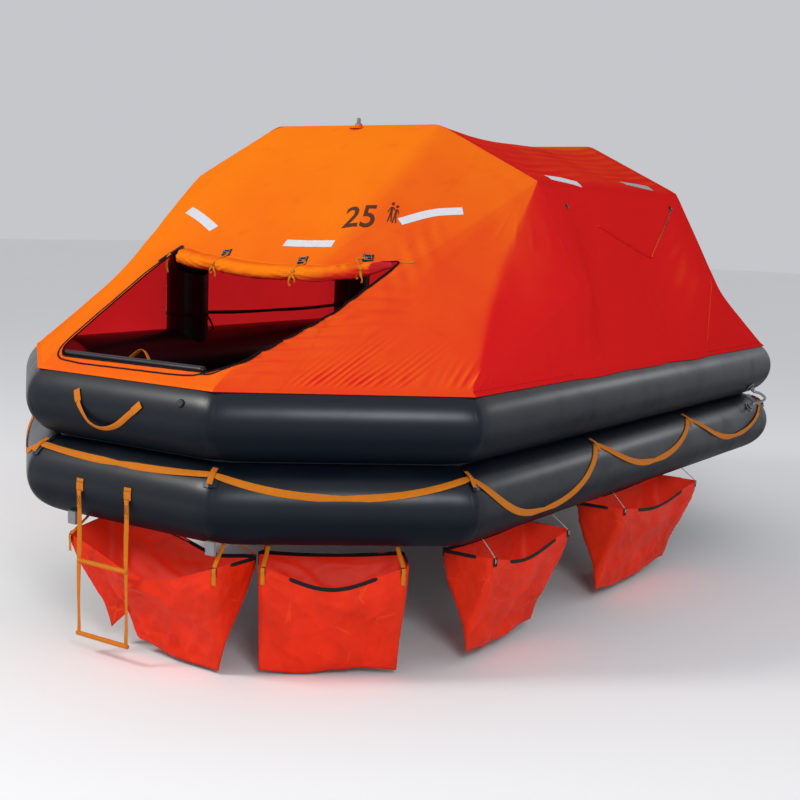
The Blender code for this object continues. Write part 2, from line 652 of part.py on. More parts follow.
def add_bags(group):
    for name, side, place_along, hem, foot, foot_z in BAGS:
        along, out = side_frame(side)
        corners = outline(TUBE_RADIUS)
        middle = (corners[side] + corners[(side + 1) % 8]) / 2
        origin = Vector((*middle, 0)) + along * place_along
        waist_z = (BAG_HEM_Z + foot_z) / 2 - BAG_WAIST_DROP
        layers = (
            bag_ring(hem, BAG_HALF_DEPTH, BAG_HEM_Z, BAG_FRONT_DIP, BAG_BACK_DIP),
            bag_ring(hem, BAG_HALF_DEPTH, BAG_HEM_Z - BAG_SHOULDER, BAG_SHOULDER_DIP, 0),
            bag_ring((hem + foot) / 2, BAG_HALF_DEPTH * BAG_WAIST, waist_z, 0, 0),
            bag_ring(foot, BAG_FOOT_DEPTH, foot_z, 0, 0),
        )
        bm = bmesh.new()
        rings = [[bm.verts.new(origin + along * a + out * o + Vector((0, 0, z))) for a, o, z in ring]
                 for ring in layers]
        count = len(rings[0])
        for upper, lower in zip(rings, rings[1:]):
            for i in range(count):
                j = (i + 1) % count
                bm.faces.new((upper[i], upper[j], lower[j], lower[i]))
        bm.faces.new(rings[-1])
        for i in BAG_STRAP_STARTS:
            ends = [rings[0][i].co, rings[0][i + 1].co]
            inward = out * -math.copysign(BAG_CLOTH, layers[0][i][1])
            strap_top = min(under_tube(p + step) for p in ends for step in (out * 0, inward)) - GAP
            tops = [bm.verts.new((p.x, p.y, strap_top)) for p in ends]
            bm.faces.new((tops[0], tops[1], rings[0][i + 1], rings[0][i]))
        heart = origin + Vector((0, 0, BAG_HEM_Z))
        bag = place(name, faced(bm, lambda p: p - heart), "bag", group)
        thicken(bag, BAG_CLOTH, outward=False)


def add_top_light(group):
    top = crest_half()[0].y + CLOTH + GAP
    light = turned(LIGHT_PROFILE, Matrix.Translation((LIGHT_X, -CREST_Y, top)), 20)
    place("top_light", light, "plastic", group)


def add_gas_cylinder(group):
    """The cylinder, lying under the floor in two bands that reach up to it."""
    x, y = CYLINDER_AT
    facet = math.cos(math.pi / BAND_SIDES)
    band_radius = CYLINDER_PROFILE[4][0] / facet + GAP
    z = FLOOR_BOTTOM - band_radius - WEB / facet - GAP
    lie = Matrix.Translation((x, y, z)) @ Matrix.Rotation(-math.pi / 2, 4, "X")
    place("gas_cylinder", turned(CYLINDER_PROFILE, lie, 32), "steel", group)
    for label, along in zip(("foot", "neck"), BAND_ALONG):
        ring = []
        for k in range(BAND_SIDES):
            angle = 2 * math.pi * k / BAND_SIDES
            at = Vector((x + band_radius * math.cos(angle), y + along, z + band_radius * math.sin(angle)))
            ring.append([at + Vector((0, way * BAND_WIDTH / 2, 0)) for way in (-1, 1)])
        band = sheet(ring, lambda p: Vector((p.x - x, 0, p.z - z)), closed=True)
        thicken(place("cylinder_" + label + "_band", band, "dark_webbing", group), WEB)


def seat_on_tube(side, share, degrees, centre_z):
    """A point just off a tube, the way out of it there, and the matrix of a fitting seated on it."""
    angle = math.radians(degrees)
    point = on_tube(side, share, angle, centre_z, TUBE_RADIUS + GAP)
    normal = side_frame(side)[1] * math.cos(angle) + Vector((0, 0, math.sin(angle)))
    turn = normal.to_track_quat("Z", "Y").to_matrix().to_4x4()
    return point, normal, Matrix.Translation(point) @ turn


def add_valves(group):
    """The two inlet valves with the hose between them, and a relief valve on each tube."""
    mouths = []
    for label, centre_z, lift in (("lower", LOWER_Z, 1), ("upper", UPPER_Z, -1)):
        seat, normal, matrix = seat_on_tube(RIGHT_SIDE, VALVE_PLACE, VALVE_ANGLE * lift, centre_z)
        place(label + "_inlet_valve", turned(VALVE_PROFILE, matrix, 20), "plastic", group)
        mouths.append((seat + normal * (VALVE_PROFILE[0][1] + GAP), normal))
    (start, start_way), (end, end_way) = mouths
    along, out = side_frame(RIGHT_SIDE)
    swing = out * HOSE_SWING[0] + along * HOSE_SWING[1]
    path = []
    for k in range(HOSE_STEPS + 1):
        share = k / HOSE_STEPS
        path.append(start.lerp(end, share) + swing * math.sin(math.pi * share))
    path[1] = start + start_way * HOSE_LEAD
    path[-2] = end + end_way * HOSE_LEAD
    add_pipe("inflation_hose", path, HOSE_RADIUS, 2, "hose", group)
    for name, side, share, centre_z, degrees in RELIEF_VALVES:
        matrix = seat_on_tube(side, share, degrees, centre_z)[2]
        place(name, turned(RELIEF_PROFILE, matrix, 20), "dark_plastic", group)


def add_painter_patch(group):
    middle = (PAINTER_X, HALF_LENGTH + GAP + PAINTER_PATCH[1] / 2, UPPER_Z)
    place("painter_patch", box(PAINTER_PATCH, middle), "tube", group)


def add_batteries(group):
    inner_edge = BATTERY_OUT - BATTERY_SIZE[1] / 2
    top = LOWER_Z - math.sqrt(TUBE_RADIUS**2 - inner_edge**2) - GAP
    y = -(HALF_LENGTH - TUBE_RADIUS + BATTERY_OUT)
    for name, x in BATTERIES:
        place(name, box(BATTERY_SIZE, (x, y, top - BATTERY_SIZE[2] / 2)), "plastic", group)


def build_raft():
    clear_scene()
    raft = new_collection("inflatable_life_raft")
    cutters = new_collection("cutters")
    add_hull(raft)
    add_floor(raft)
    add_arches(raft, cutters)
    add_end_panels(raft, cutters)
    add_roof(raft)
    add_side_panels(raft)
    add_door_rolls(raft)
    add_lifelines(raft)
    add_straps(raft)
    add_ladder("near", False, raft, cutters)
    add_ladder("far", True, raft, cutters)
    add_bags(raft)
    add_top_light(raft)
    add_gas_cylinder(raft)
    add_valves(raft)
    add_painter_patch(raft)
    add_batteries(raft)


build_raft()
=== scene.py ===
"""Looks of an inflatable life raft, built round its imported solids. Metres, +Z up, the raft's
empty waterline at Z 0 and its near doorway at -Y."""

import math
from contextlib import contextmanager

import bmesh
import bpy
import numpy as np
from bpy.props import FloatProperty, FloatVectorProperty, PointerProperty
from mathutils import Matrix, Vector
from mathutils.bvhtree import BVHTree


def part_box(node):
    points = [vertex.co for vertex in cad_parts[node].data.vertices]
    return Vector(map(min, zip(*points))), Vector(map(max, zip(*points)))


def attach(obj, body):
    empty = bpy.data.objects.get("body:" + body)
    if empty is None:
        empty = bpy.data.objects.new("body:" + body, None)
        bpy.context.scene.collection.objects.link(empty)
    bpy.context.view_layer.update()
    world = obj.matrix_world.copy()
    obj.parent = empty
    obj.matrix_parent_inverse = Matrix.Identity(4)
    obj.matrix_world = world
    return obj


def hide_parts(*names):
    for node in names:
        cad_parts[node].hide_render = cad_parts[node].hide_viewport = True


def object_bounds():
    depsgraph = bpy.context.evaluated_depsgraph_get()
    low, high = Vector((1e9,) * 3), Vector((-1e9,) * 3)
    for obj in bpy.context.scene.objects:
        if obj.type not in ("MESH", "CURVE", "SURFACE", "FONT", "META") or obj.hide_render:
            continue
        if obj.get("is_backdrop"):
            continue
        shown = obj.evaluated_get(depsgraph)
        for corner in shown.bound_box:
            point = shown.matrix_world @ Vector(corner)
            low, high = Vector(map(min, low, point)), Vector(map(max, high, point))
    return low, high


bl_info = {
    "name": "Inflatable life raft",
    "version": (1, 0, 0),
    "blender": (4, 5, 0),
    "location": "View3D > Sidebar > Life Raft",
    "description": "Dresses the packed solids of an inflatable life raft in cloth, rubber and webbing",
    "category": "Object",
}

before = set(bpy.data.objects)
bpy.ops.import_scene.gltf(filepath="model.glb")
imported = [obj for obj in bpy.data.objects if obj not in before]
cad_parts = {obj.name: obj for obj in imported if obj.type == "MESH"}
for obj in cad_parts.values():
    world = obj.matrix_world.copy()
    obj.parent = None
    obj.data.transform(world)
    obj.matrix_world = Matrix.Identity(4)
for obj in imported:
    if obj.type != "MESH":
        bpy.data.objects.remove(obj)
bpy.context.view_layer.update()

# Hull, read from the frame.
LOWER_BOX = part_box("lower_buoyancy_tube")
UPPER_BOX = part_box("upper_buoyancy_tube")
HALF_WIDTH, HALF_LENGTH = LOWER_BOX[1].x, LOWER_BOX[1].y
TUBE_RADIUS = (LOWER_BOX[1].z - LOWER_BOX[0].z) / 2
LOWER_Z = LOWER_BOX[0].z + TUBE_RADIUS
UPPER_Z = UPPER_BOX[0].z + TUBE_RADIUS
CORNER_ACROSS = 0.90
CORNER_ALONG = 0.76
NEAR_CORNER, RIGHT_SIDE, FAR_RIGHT_CORNER, FAR_END = range(4)
LEFT_SIDE, NEAR_END = 5, 7

# Arches: half their centreline as (x, z) from the foot up to the crown.
ARCH_RADIUS = 0.125
ARCH_Y = 0.844
ARCH_HALF = ((1.258, UPPER_Z), (1.258, 1.050), (1.030, 1.503), (0.509, 1.752))

# Canopy cloth: the line over the arches, the angles on the tube at which it ends and leaves it.
CREST_Y = 0.886
CREST_RISE = 0.136
HEM_ANGLE = math.radians(46.6)
WRAP_ANGLE = math.radians(56.0)
HEM_LIFT = 0.003
CABIN_HEART = np.array((0.0, -1.0, 0.6))
CLOTH = 0.0016

# Doorway in the near end panel, seen along the raft as (x, z): sill and right edge, then the head.
DOOR_SILL = ((-0.525, 0.740), (-0.470, 0.700), (0.440, 0.705), (0.550, 0.745), (0.625, 0.830),
             (0.735, 0.970), (0.790, 1.090), (0.835, 1.200))
DOOR_HEAD = ((0.835, 1.200), (0.550, 1.158), (0.270, 1.150), (-0.120, 1.170), (-0.405, 1.210))
# Step between the outline's points, and how often their corners are rounded.
DOOR_STEP = 0.01
DOOR_ROUNDING = 5
# The rolled door's radius, where it starts inside the head's ends, and how far it hangs off them.
ROLL_RADIUS = 0.037
ROLL_END_INSETS = (0.034, 0.085)
ROLL_DROP = 0.0074


def moved_line(points, distance, closed=False):
    """A flat line moved by a distance to its right, with mitred corners."""
    line = [Vector(p) for p in points]
    count = len(line)
    moved = []
    for i, point in enumerate(line):
        before = (point - line[i - 1]).normalized() if closed or i > 0 else None
        after = (line[(i + 1) % count] - point).normalized() if closed or i < count - 1 else None
        before, after = before or after, after or before
        normals = [Vector((d.y, -d.x)) for d in (before, after)]
        moved.append(point + (normals[0] + normals[1]) * (distance / (1 + normals[0].dot(normals[1]))))
    return moved


def outline(inset):
    """The hull's eight plan corners, counter-clockwise from the near end's right, moved inwards."""
    near = [(HALF_WIDTH - CORNER_ACROSS, -HALF_LENGTH), (HALF_WIDTH, -(HALF_LENGTH - CORNER_ALONG))]
    right = near + [(x, -y) for x, y in reversed(near)]
    corners = right + [(-x, y) for x, y in reversed(right)]
    return np.array([tuple(p) for p in moved_line(corners, -inset, closed=True)])


CORNERS = outline(0)
CORNER_STEP = outline(1) - CORNERS


def tube_points(place, angle, centre_z, radius=TUBE_RADIUS):
    """Points round a hull tube. A place is a side's number plus the share of the way along it, and
    the angle is up from the tube's outermost line."""
    place, angle, radius = np.broadcast_arrays(np.asarray(place, float), angle, radius)
    side = np.floor(place).astype(int) % 8
    share = (place % 1.0)[..., None]
    inset = (TUBE_RADIUS - radius * np.cos(angle))[..., None]
    start = CORNERS[side] + CORNER_STEP[side] * inset
    end = CORNERS[(side + 1) % 8] + CORNER_STEP[(side + 1) % 8] * inset
    plan = start + (end - start) * share
    return np.concatenate([plan, (centre_z + radius * np.sin(angle))[..., None]], -1)


def unit(vectors):
    return vectors / np.maximum(np.linalg.norm(vectors, axis=-1, keepdims=True), 1e-9)


def side_frame(side):
    """Unit vectors along a side of the hull and out of it."""
    along = unit(CORNERS[(side + 1) % 8] - CORNERS[side])
    return np.array((along[0], along[1], 0)), np.array((along[1], -along[0], 0))


def side_length(side):
    return float(np.linalg.norm(CORNERS[(side + 1) % 8] - CORNERS[side]))


def end_place(x):
    """The place on the near end at a distance to the right of its middle."""
    return NEAR_END + x / side_length(NEAR_END) + 0.5


def tube_normal(place, angle):
    side = int(math.floor(place)) % 8
    return side_frame(side)[1] * math.cos(angle) + np.array((0, 0, math.sin(angle)))


def tube_band(places, angles, lifts, centre_z=LOWER_Z):
    """A line on a hull tube, lifted off its skin, with the tube's way out at each point."""
    path = [tube_points(*at, centre_z, TUBE_RADIUS + lift) for *at, lift in zip(places, angles, lifts)]
    return np.array(path), np.array([tube_normal(*at) for at in zip(places, angles)])


LATTICE = 64


def noise(u, v, seed):
    """Smooth noise from -1 to 1, with one bump to a unit of u and v."""
    lattice = np.random.default_rng(seed).uniform(-1, 1, (LATTICE, LATTICE))
    u, v = np.broadcast_arrays(np.asarray(u, float), v)
    iu, iv = np.floor(u).astype(int), np.floor(v).astype(int)
    fu, fv = u - iu, v - iv
    fu, fv = fu * fu * (3 - 2 * fu), fv * fv * (3 - 2 * fv)
    at = lambda a, b: lattice[(iu + a) % LATTICE, (iv + b) % LATTICE]
    low = at(0, 0) * (1 - fu) + at(1, 0) * fu
    high = at(0, 1) * (1 - fu) + at(1, 1) * fu
    return low * (1 - fv) + high * fv


def layered_noise(u, v, seed, layers=3):
    return sum(noise(u * 2**k, v * 2**k, seed + k) / 2**k for k in range(layers))


def folds(across, sharpness, rest):
    """Parallel folds, one to a unit and 1 high, measured from a level above their valleys."""
    return (0.5 + 0.5 * np.cos(2 * np.pi * across)) ** sharpness - rest


def ramp(value, start, end):
    """A smooth step from 0 at start to 1 at end."""
    share = np.clip((np.asarray(value, float) - start) / (end - start), 0, 1)
    return share * share * (3 - 2 * share)


def bump_at(value, middle, width):
    return np.exp(-(((np.asarray(value, float) - middle) / width) ** 2))


def softened(grid, passes, axis):
    """The grid with its creases rounded along one axis, its borders kept."""
    grid = np.moveaxis(grid.copy(), axis, 0)
    for _ in range(passes):
        grid[1:-1] = (grid[:-2] + 2 * grid[1:-1] + grid[2:]) / 4
    return np.moveaxis(grid, 0, axis)


def grid_normals(grid):
    down, across = np.gradient(grid, axis=0), np.gradient(grid, axis=1)
    return unit(np.cross(across, down))


def facing(normals, ways):
    """The normals, all turned over if most of them point away from the ways."""
    return normals if (normals * ways).sum() > 0 else -normals


def run_along(points):
    """Distance along a line from its start to each of its points."""
    return np.concatenate([[0], np.cumsum(np.linalg.norm(np.diff(points, axis=0), axis=1))])


def between(at, marks, points):
    """Points at places along a marked line."""
    return np.stack([np.interp(at, marks, points[:, k]) for k in range(points.shape[1])], -1)


def resampled(points, step):
    """Points at even steps along a line, its ends kept."""
    points = np.asarray(points, float)
    run = run_along(points)
    return between(np.linspace(0, run[-1], max(2, int(round(run[-1] / step)) + 1)), run, points)


def curved(points, steps=8):
    """A smooth line through points."""
    p = np.asarray(points, float)
    p = np.concatenate([[2 * p[0] - p[1]], p, [2 * p[-1] - p[-2]]])
    t = np.linspace(0, 1, steps, endpoint=False)[:, None]
    line = []
    for a, b, c, d in zip(p, p[1:], p[2:], p[3:]):
        line.append(0.5 * (2 * b + (c - a) * t + (2 * a - 5 * b + 4 * c - d) * t**2
                           + (3 * b - a - 3 * c + d) * t**3))
    return np.concatenate(line + [p[-2:-1]])


def placed(name, data):
    """A new object in the scene."""
    thing = bpy.data.objects.new(name, data)
    bpy.context.scene.collection.objects.link(thing)
    return thing


def mesh_piece(name, points, faces, materials=(), uv=None):
    """A smooth mesh object. The uv, in metres, runs across and along webbing for its weave."""
    mesh = bpy.data.meshes.new(name)
    mesh.from_pydata(np.asarray(points, float).reshape(-1, 3).tolist(), [], faces)
    mesh.update()
    mesh.shade_smooth()
    if uv is not None:
        corner = np.empty(len(mesh.loops), int)
        mesh.loops.foreach_get("vertex_index", corner)
        layer = mesh.uv_layers.new(name="weave")
        layer.data.foreach_set("uv", np.asarray(uv, float).reshape(-1, 2)[corner].ravel())
    for material in materials:
        mesh.materials.append(material)
    return placed(name, mesh)


def grid_faces(rows, columns, close_rows=False, close_columns=False, keep=None):
    """Faces of a grid of points, numbered row by row. The mask keep leaves out the others."""
    i = np.arange(rows if close_rows else rows - 1)
    j = np.arange(columns if close_columns else columns - 1)
    i, j = np.meshgrid(i, j, indexing="ij")
    a, b = i * columns + j, i * columns + (j + 1) % columns
    c, d = (i + 1) % rows * columns + (j + 1) % columns, (i + 1) % rows * columns + j
    faces = np.stack([a, b, c, d], -1)
    return (faces[keep] if keep is not None else faces.reshape(-1, 4)).tolist()


@contextmanager
def edited(piece):
    """A piece's mesh, open for editing."""
    bm = bmesh.new()
    bm.from_mesh(piece.data)
    yield bm
    bm.to_mesh(piece.data)
    bm.free()


# Gap that is welded in a skin, and in a thin ribbon or pipe, and angle from which an edge is sharp.
WELD = 1e-5
THIN_WELD = 1e-7
SHARP = math.radians(50)


def tidy_mesh(piece, weld=WELD):
    """Welds points that fall together and turns all faces outwards."""
    with edited(piece) as bm:
        bmesh.ops.remove_doubles(bm, verts=bm.verts, dist=weld)
        bmesh.ops.recalc_face_normals(bm, faces=bm.faces)
    return piece


def thicken(piece, thickness, inner_material=0):
    """Gives cloth or webbing its thickness, inwards from the face that shows."""
    mesh = piece.data
    edges = np.empty(len(mesh.loops), int)
    mesh.loops.foreach_get("edge_index", edges)
    mesh.edges.foreach_set("use_edge_sharp", np.bincount(edges, minlength=len(mesh.edges)) == 1)
    shell = piece.modifiers.new("thickness", "SOLIDIFY")
    shell.thickness = thickness
    shell.offset = -1.0
    shell.material_offset = inner_material
    return piece


def frames_along(path, up):
    """Unit vectors across a line, and the ways up that they leave."""
    along = unit(np.gradient(path, axis=0))
    across = unit(np.cross(along, np.broadcast_to(np.asarray(up, float), path.shape)))
    return across, np.cross(across, along)


def swept(name, rings, material, closed=False, uv=None):
    """A skin over rings of points, with flat ends unless it is closed."""
    count, sides = rings.shape[:2]
    faces = grid_faces(count, sides, close_rows=closed, close_columns=True)
    if not closed:
        faces += [list(range(sides))[::-1], list(range((count - 1) * sides, count * sides))]
    return tidy_mesh(mesh_piece(name, rings, faces, [material], uv), THIN_WELD)


# Half a webbing's section: how far out its flat and its edge reach, in shares of its half size.
WEB_FLAT = 0.88
WEB_EDGE = 0.25
# Thickness of lines, straps, tabs and ties.
LINE = 0.0028
STRAP = 0.0026
TAB = 0.0022
TIE = 0.0018


def ribbon(name, path, up, width, thickness, material):
    """Flat webbing along a line, with its flat side facing up. The up may be one for each point."""
    across, normal = frames_along(path, up)
    half = np.broadcast_to(np.asarray(width, float), (len(path),))[:, None] / 2
    section = ((-1, -WEB_EDGE), (-WEB_FLAT, -1), (WEB_FLAT, -1), (1, -WEB_EDGE),
               (1, WEB_EDGE), (WEB_FLAT, 1), (-WEB_FLAT, 1), (-1, WEB_EDGE))
    rings = np.stack([path + across * half * a + normal * (thickness / 2) * b for a, b in section], 1)
    uv = np.stack(np.broadcast_arrays(half * [a for a, b in section], run_along(path)[:, None]), -1)
    return swept(name, rings, material, uv=uv)


def pipe(name, path, radius, material, sides=12, closed=False):
    """A round cord or pipe along a line, its radius one number or one for each point."""
    path = np.asarray(path, float)
    side = np.cross(path[1] - path[0], (0.31, 0.17, 0.93))
    turns = np.linspace(0, 2 * np.pi, sides, endpoint=False)[:, None]
    rings = []
    for point, way, reach in zip(path, unit(np.gradient(path, axis=0)),
                                 np.broadcast_to(np.asarray(radius, float), (len(path),))):
        side = unit(side - way * side.dot(way))
        rings.append(point + reach * (np.cos(turns) * side + np.sin(turns) * np.cross(way, side)))
    return swept(name, np.stack(rings), material, closed)


def turned_piece(name, profile, matrix, material, steps=48):
    """A (radius, height) profile turned round its axis."""
    turns = np.linspace(0, 2 * np.pi, steps, endpoint=False)
    rows = [[(r * math.cos(t), r * math.sin(t), z) for t in turns] for r, z in profile]
    piece = mesh_piece(name, np.array(rows), grid_faces(len(profile), steps, close_columns=True),
                       [material])
    piece.data.transform(matrix)
    tidy_mesh(piece)
    piece.data.set_sharp_from_angle(angle=math.radians(35))
    return piece


def rounded_box(name, size, middle, material, bevel):
    bm = bmesh.new()
    bmesh.ops.create_cube(bm, size=1.0)
    bmesh.ops.scale(bm, vec=size, verts=bm.verts)
    bmesh.ops.bevel(bm, geom=bm.edges[:], offset=bevel, segments=3, profile=0.5, affect="EDGES")
    mesh = bpy.data.meshes.new(name)
    bm.to_mesh(mesh)
    bm.free()
    mesh.transform(Matrix.Translation(middle))
    mesh.shade_smooth()
    mesh.set_sharp_from_angle(angle=SHARP)
    mesh.materials.append(material)
    return placed(name, mesh)


def standing(point, normal):
    """The matrix that stands a piece's upright axis on a point along a normal."""
    turn = Vector(normal).to_track_quat("Z", "Y").to_matrix().to_4x4()
    return Matrix.Translation(Vector(point)) @ turn


def joined(name, pieces):
    """Several pieces as one mesh, each keeping its materials."""
    first = pieces[0]
    with bpy.context.temp_override(active_object=first, selected_editable_objects=pieces):
        bpy.ops.object.join()
    first.name = first.data.name = name
    return first


def settle(piece, body="raft", replaces=()):
    """Attaches a finished piece to its body and hides the nodes that it stands for."""
    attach(piece, body)
    if replaces:
        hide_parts(*replaces)
    return piece


def pair(piece, replaced=None, body="raft"):
    """Settles a near piece and its half-turned twin, whose names begin with near_ and far_."""
    twin = piece.copy()
    twin.data = piece.data.copy()
    twin.name = twin.data.name = far_of(piece.name)
    bpy.context.scene.collection.objects.link(twin)
    twin.data.transform(Matrix.Rotation(math.pi, 4, "Z"))
    nodes = [replaced] if replaced else []
    settle(piece, body, nodes)
    settle(twin, far_of(body), [far_of(node) for node in nodes])
    return piece, twin


def far_of(name):
    """The far end's name for something at the near end."""
    return name.replace("near_", "far_", 1)


class Value:
    """A number that varies over a surface. Sums on it add Math nodes."""

    def __init__(self, graph, socket):
        self.graph, self.socket = graph, socket

    def combined(self, operation, *parts):
        return self.graph.value("ShaderNodeMath", {"operation": operation}, dict(enumerate(parts)))

    def __add__(self, other):
        return self.combined("ADD", self, other)

    def __sub__(self, other):
        return self.combined("SUBTRACT", self, other)

    def __rsub__(self, other):
        return self.combined("SUBTRACT", other, self)

    def __mul__(self, other):
        return self.combined("MULTIPLY", self, other)

    __radd__, __rmul__ = __add__, __mul__


class Finish:
    """One material: a Principled shader and the nodes that feed it."""

    def __init__(self, name, **constants):
        self.material = bpy.data.materials.new("raft_" + name)
        self.material.use_nodes = True
        self.tree = self.material.node_tree
        self.shader = self.tree.nodes["Principled BSDF"]
        self.shade(**constants)

    def feed(self, node, sockets):
        for key, value in sockets.items():
            value = value.socket if isinstance(value, Value) else value
            socket = node.inputs[key]
            if isinstance(value, bpy.types.NodeSocket):
                self.tree.links.new(value, socket)
            else:
                socket.default_value = (*value, 1.0) if socket.type == "RGBA" else value
        return node

    def shade(self, **sockets):
        """Feeds the shader's sockets and gives the finished material."""
        self.feed(self.shader, {key.replace("_", " "): value for key, value in sockets.items()})
        return self.material

    def node(self, kind, settings, sockets):
        """Adds a node: its type, its settings, then its sockets' values or links."""
        node = self.tree.nodes.new(kind)
        for key, value in settings.items():
            setattr(node, key, value)
        return self.feed(node, sockets)

    def value(self, kind, settings, sockets, output=0):
        return Value(self, self.node(kind, settings, sockets).outputs[output])

    def place(self, stretch=(1, 1, 1), source="Object"):
        """The surface's own coordinates, stretched."""
        place = self.node("ShaderNodeTexCoord", {}, {}).outputs[source]
        sockets = {0: place, 1: stretch}
        return self.node("ShaderNodeVectorMath", {"operation": "MULTIPLY"}, sockets).outputs[0]

    def cloudy(self, scale, detail=3.0, roughness=0.55, stretch=(1, 1, 1)):
        return self.value("ShaderNodeTexNoise", {}, {
            "Vector": self.place(stretch), "Scale": scale, "Detail": detail, "Roughness": roughness})

    def cells(self, scale, feature="F1"):
        sockets = {"Vector": self.place(), "Scale": scale}
        return self.value("ShaderNodeTexVoronoi", {"feature": feature}, sockets)

    def threads(self, spacing, direction, source="Object"):
        """Bands of one thread each, running across a direction."""
        settings = {"wave_type": "BANDS", "bands_direction": direction}
        sockets = {"Vector": self.place(source=source), "Scale": math.pi / (10 * spacing)}
        return self.value("ShaderNodeTexWave", settings, sockets, "Fac")

    def weave(self, spacing, directions):
        first, *others = [self.threads(spacing, direction) for direction in directions]
        return sum(others, first)

    def height(self):
        return self.value("ShaderNodeSeparateXYZ", {}, {0: self.place()}, 2)

    def turned_to(self, way):
        """How far the surface faces a way, from -1 to 1."""
        normal = self.node("ShaderNodeNewGeometry", {}, {}).outputs["Normal"]
        sockets = {0: normal, 1: Vector(way).normalized()}
        return self.value("ShaderNodeVectorMath", {"operation": "DOT_PRODUCT"}, sockets, "Value")

    def mix(self, share, first, second):
        sockets = {0: share, 6: first, 7: second}
        return self.node("ShaderNodeMix", {"data_type": "RGBA"}, sockets).outputs[2]

    def step(self, value, start, end):
        """A smooth ramp from 0 at start to 1 at end."""
        settings = {"interpolation_type": "SMOOTHSTEP"}
        sockets = {"Value": value, "From Min": start, "From Max": end}
        return self.value("ShaderNodeMapRange", settings, sockets)

    def relief(self, height, distance, strength):
        sockets = {"Height": height, "Distance": distance, "Strength": strength}
        self.shade(Normal=self.node("ShaderNodeBump", {}, sockets).outputs[0])


def deeper(colour, share):
    return tuple(channel * share for channel in colour)


def canopy_cloth(name, top):
    """Coated canopy nylon with painted light and shade in its colour: orange where it faces the painted
    light's way and the higher it stands, red where it is turned away, less orange where it faces up by the
    share top.
    """
    colours = bpy.context.scene.raft_canopy
    cloth = Finish(name, Specular_IOR_Level=0.0)
    # Painted light and shade: the share of the lit colour grows as the cloth faces the painted light's way
    # and the higher it stands, varies in random patches, and drops by the share top where it faces up.
    painted_lit_share = cloth.turned_to(colours.painted_light_way) + cloth.cloudy(2.3, 4.0) * 0.20 + cloth.height() * 0.24
    painted_lit_share = cloth.step(painted_lit_share - cloth.turned_to((0, 0, 1)) * top + 0.14, 0.42, 1.40)
    grime = cloth.step(cloth.cloudy(7.0, 6.0, 0.65, (1, 1, 2.5)), 0.56, 0.80)
    colour = cloth.mix(painted_lit_share, colours.shaded, colours.painted_lit_and_faded)
    colour = cloth.mix(grime * 0.18, colour, deeper(colours.shaded, 0.75))
    creases = cloth.cloudy(30.0, 5.0, 0.7)
    cloth.relief(cloth.weave(0.0021, "XYZ") * 0.05 + creases * 0.6, 0.0035, 0.55)
    return cloth.shade(Base_Color=colour, Roughness=0.52 + cloth.cloudy(55.0) * 0.16)


def canopy_lining(name, lit):
    """The canopy's inner face, which glows with painted light standing in for the daylight outside shining
    through.
    """
    colours = bpy.context.scene.raft_canopy
    lining = Finish(name, Roughness=0.7, Specular_IOR_Level=0.1, Emission_Strength=colours.glow * lit)
    blotches = lining.cloudy(3.0, 4.0)
    lining.relief(lining.weave(0.0021, "XZ") * 0.05 + lining.cloudy(26.0, 5.0, 0.7) * 0.6, 0.003, 0.5)
    return lining.shade(Base_Color=lining.mix(blotches, deeper(colours.lining, 0.7), colours.lining),
                        Emission_Color=lining.mix(blotches, deeper(colours.lining, 0.8), colours.lining))


def tube_rubber(name):
    """Rubber-coated fabric with a faint cloth grain, dust and scuffs, worn matt on its underside."""
    colours = bpy.context.scene.raft_hull
    rubber = Finish(name, Specular_IOR_Level=0.07, Coat_Roughness=0.32, Coat_IOR=1.42)
    dust = rubber.step(rubber.cloudy(4.0, 6.0, 0.62), 0.42, 0.78)
    scuffs = rubber.step(rubber.cloudy(26.0, 6.0, 0.75, (1, 1, 3)), 0.62, 0.74)
    top = rubber.step(rubber.turned_to((0, 0, 1)), -0.40, 0.35)
    colour = rubber.mix(dust * top * 0.55, colours.rubber, colours.dust)
    colour = rubber.mix(scuffs * 0.22, colour, deeper(colours.dust, 1.6))
    grain = rubber.weave(0.0014, "XYZ")
    rubber.relief(grain * 0.05 + rubber.cloudy(60.0, 5.0, 0.7) * 0.30, 0.0016, 0.5)
    return rubber.shade(Base_Color=colour, Coat_Weight=top * (0.80 - dust * 0.25),
                        Roughness=0.40 + dust * 0.12 + rubber.cloudy(90.0) * 0.08)


def weld_tape(name):
    """Rubber tape, smoother and a little lighter than the tube under it."""
    colours = bpy.context.scene.raft_hull
    tape = Finish(name, Specular_IOR_Level=0.07, Coat_Roughness=0.34, Coat_IOR=1.42)
    dust = tape.step(tape.cloudy(9.0, 6.0, 0.65), 0.40, 0.75)
    tape.relief(tape.cloudy(80.0, 4.0), 0.0012, 0.4)
    colour = tape.mix(dust * 0.6, deeper(colours.rubber, 1.05), deeper(colours.dust, 1.1))
    return tape.shade(Base_Color=colour, Roughness=0.34 + dust * 0.14,
                      Coat_Weight=tape.step(tape.turned_to((0, 0, 1)), -0.40, 0.35) * 0.72)


def floor_cloth(name):
    cloth = Finish(name)
    colours = bpy.context.scene.raft_hull
    dust = cloth.step(cloth.cloudy(3.0, 6.0, 0.65), 0.40, 0.78)
    cloth.relief(cloth.weave(0.0016, "XY") * 0.06 + cloth.cloudy(45.0, 4.0), 0.0015, 0.5)
    return cloth.shade(Base_Color=cloth.mix(dust, deeper(colours.rubber, 1.3), colours.dust),
                       Roughness=0.5 + dust * 0.15)


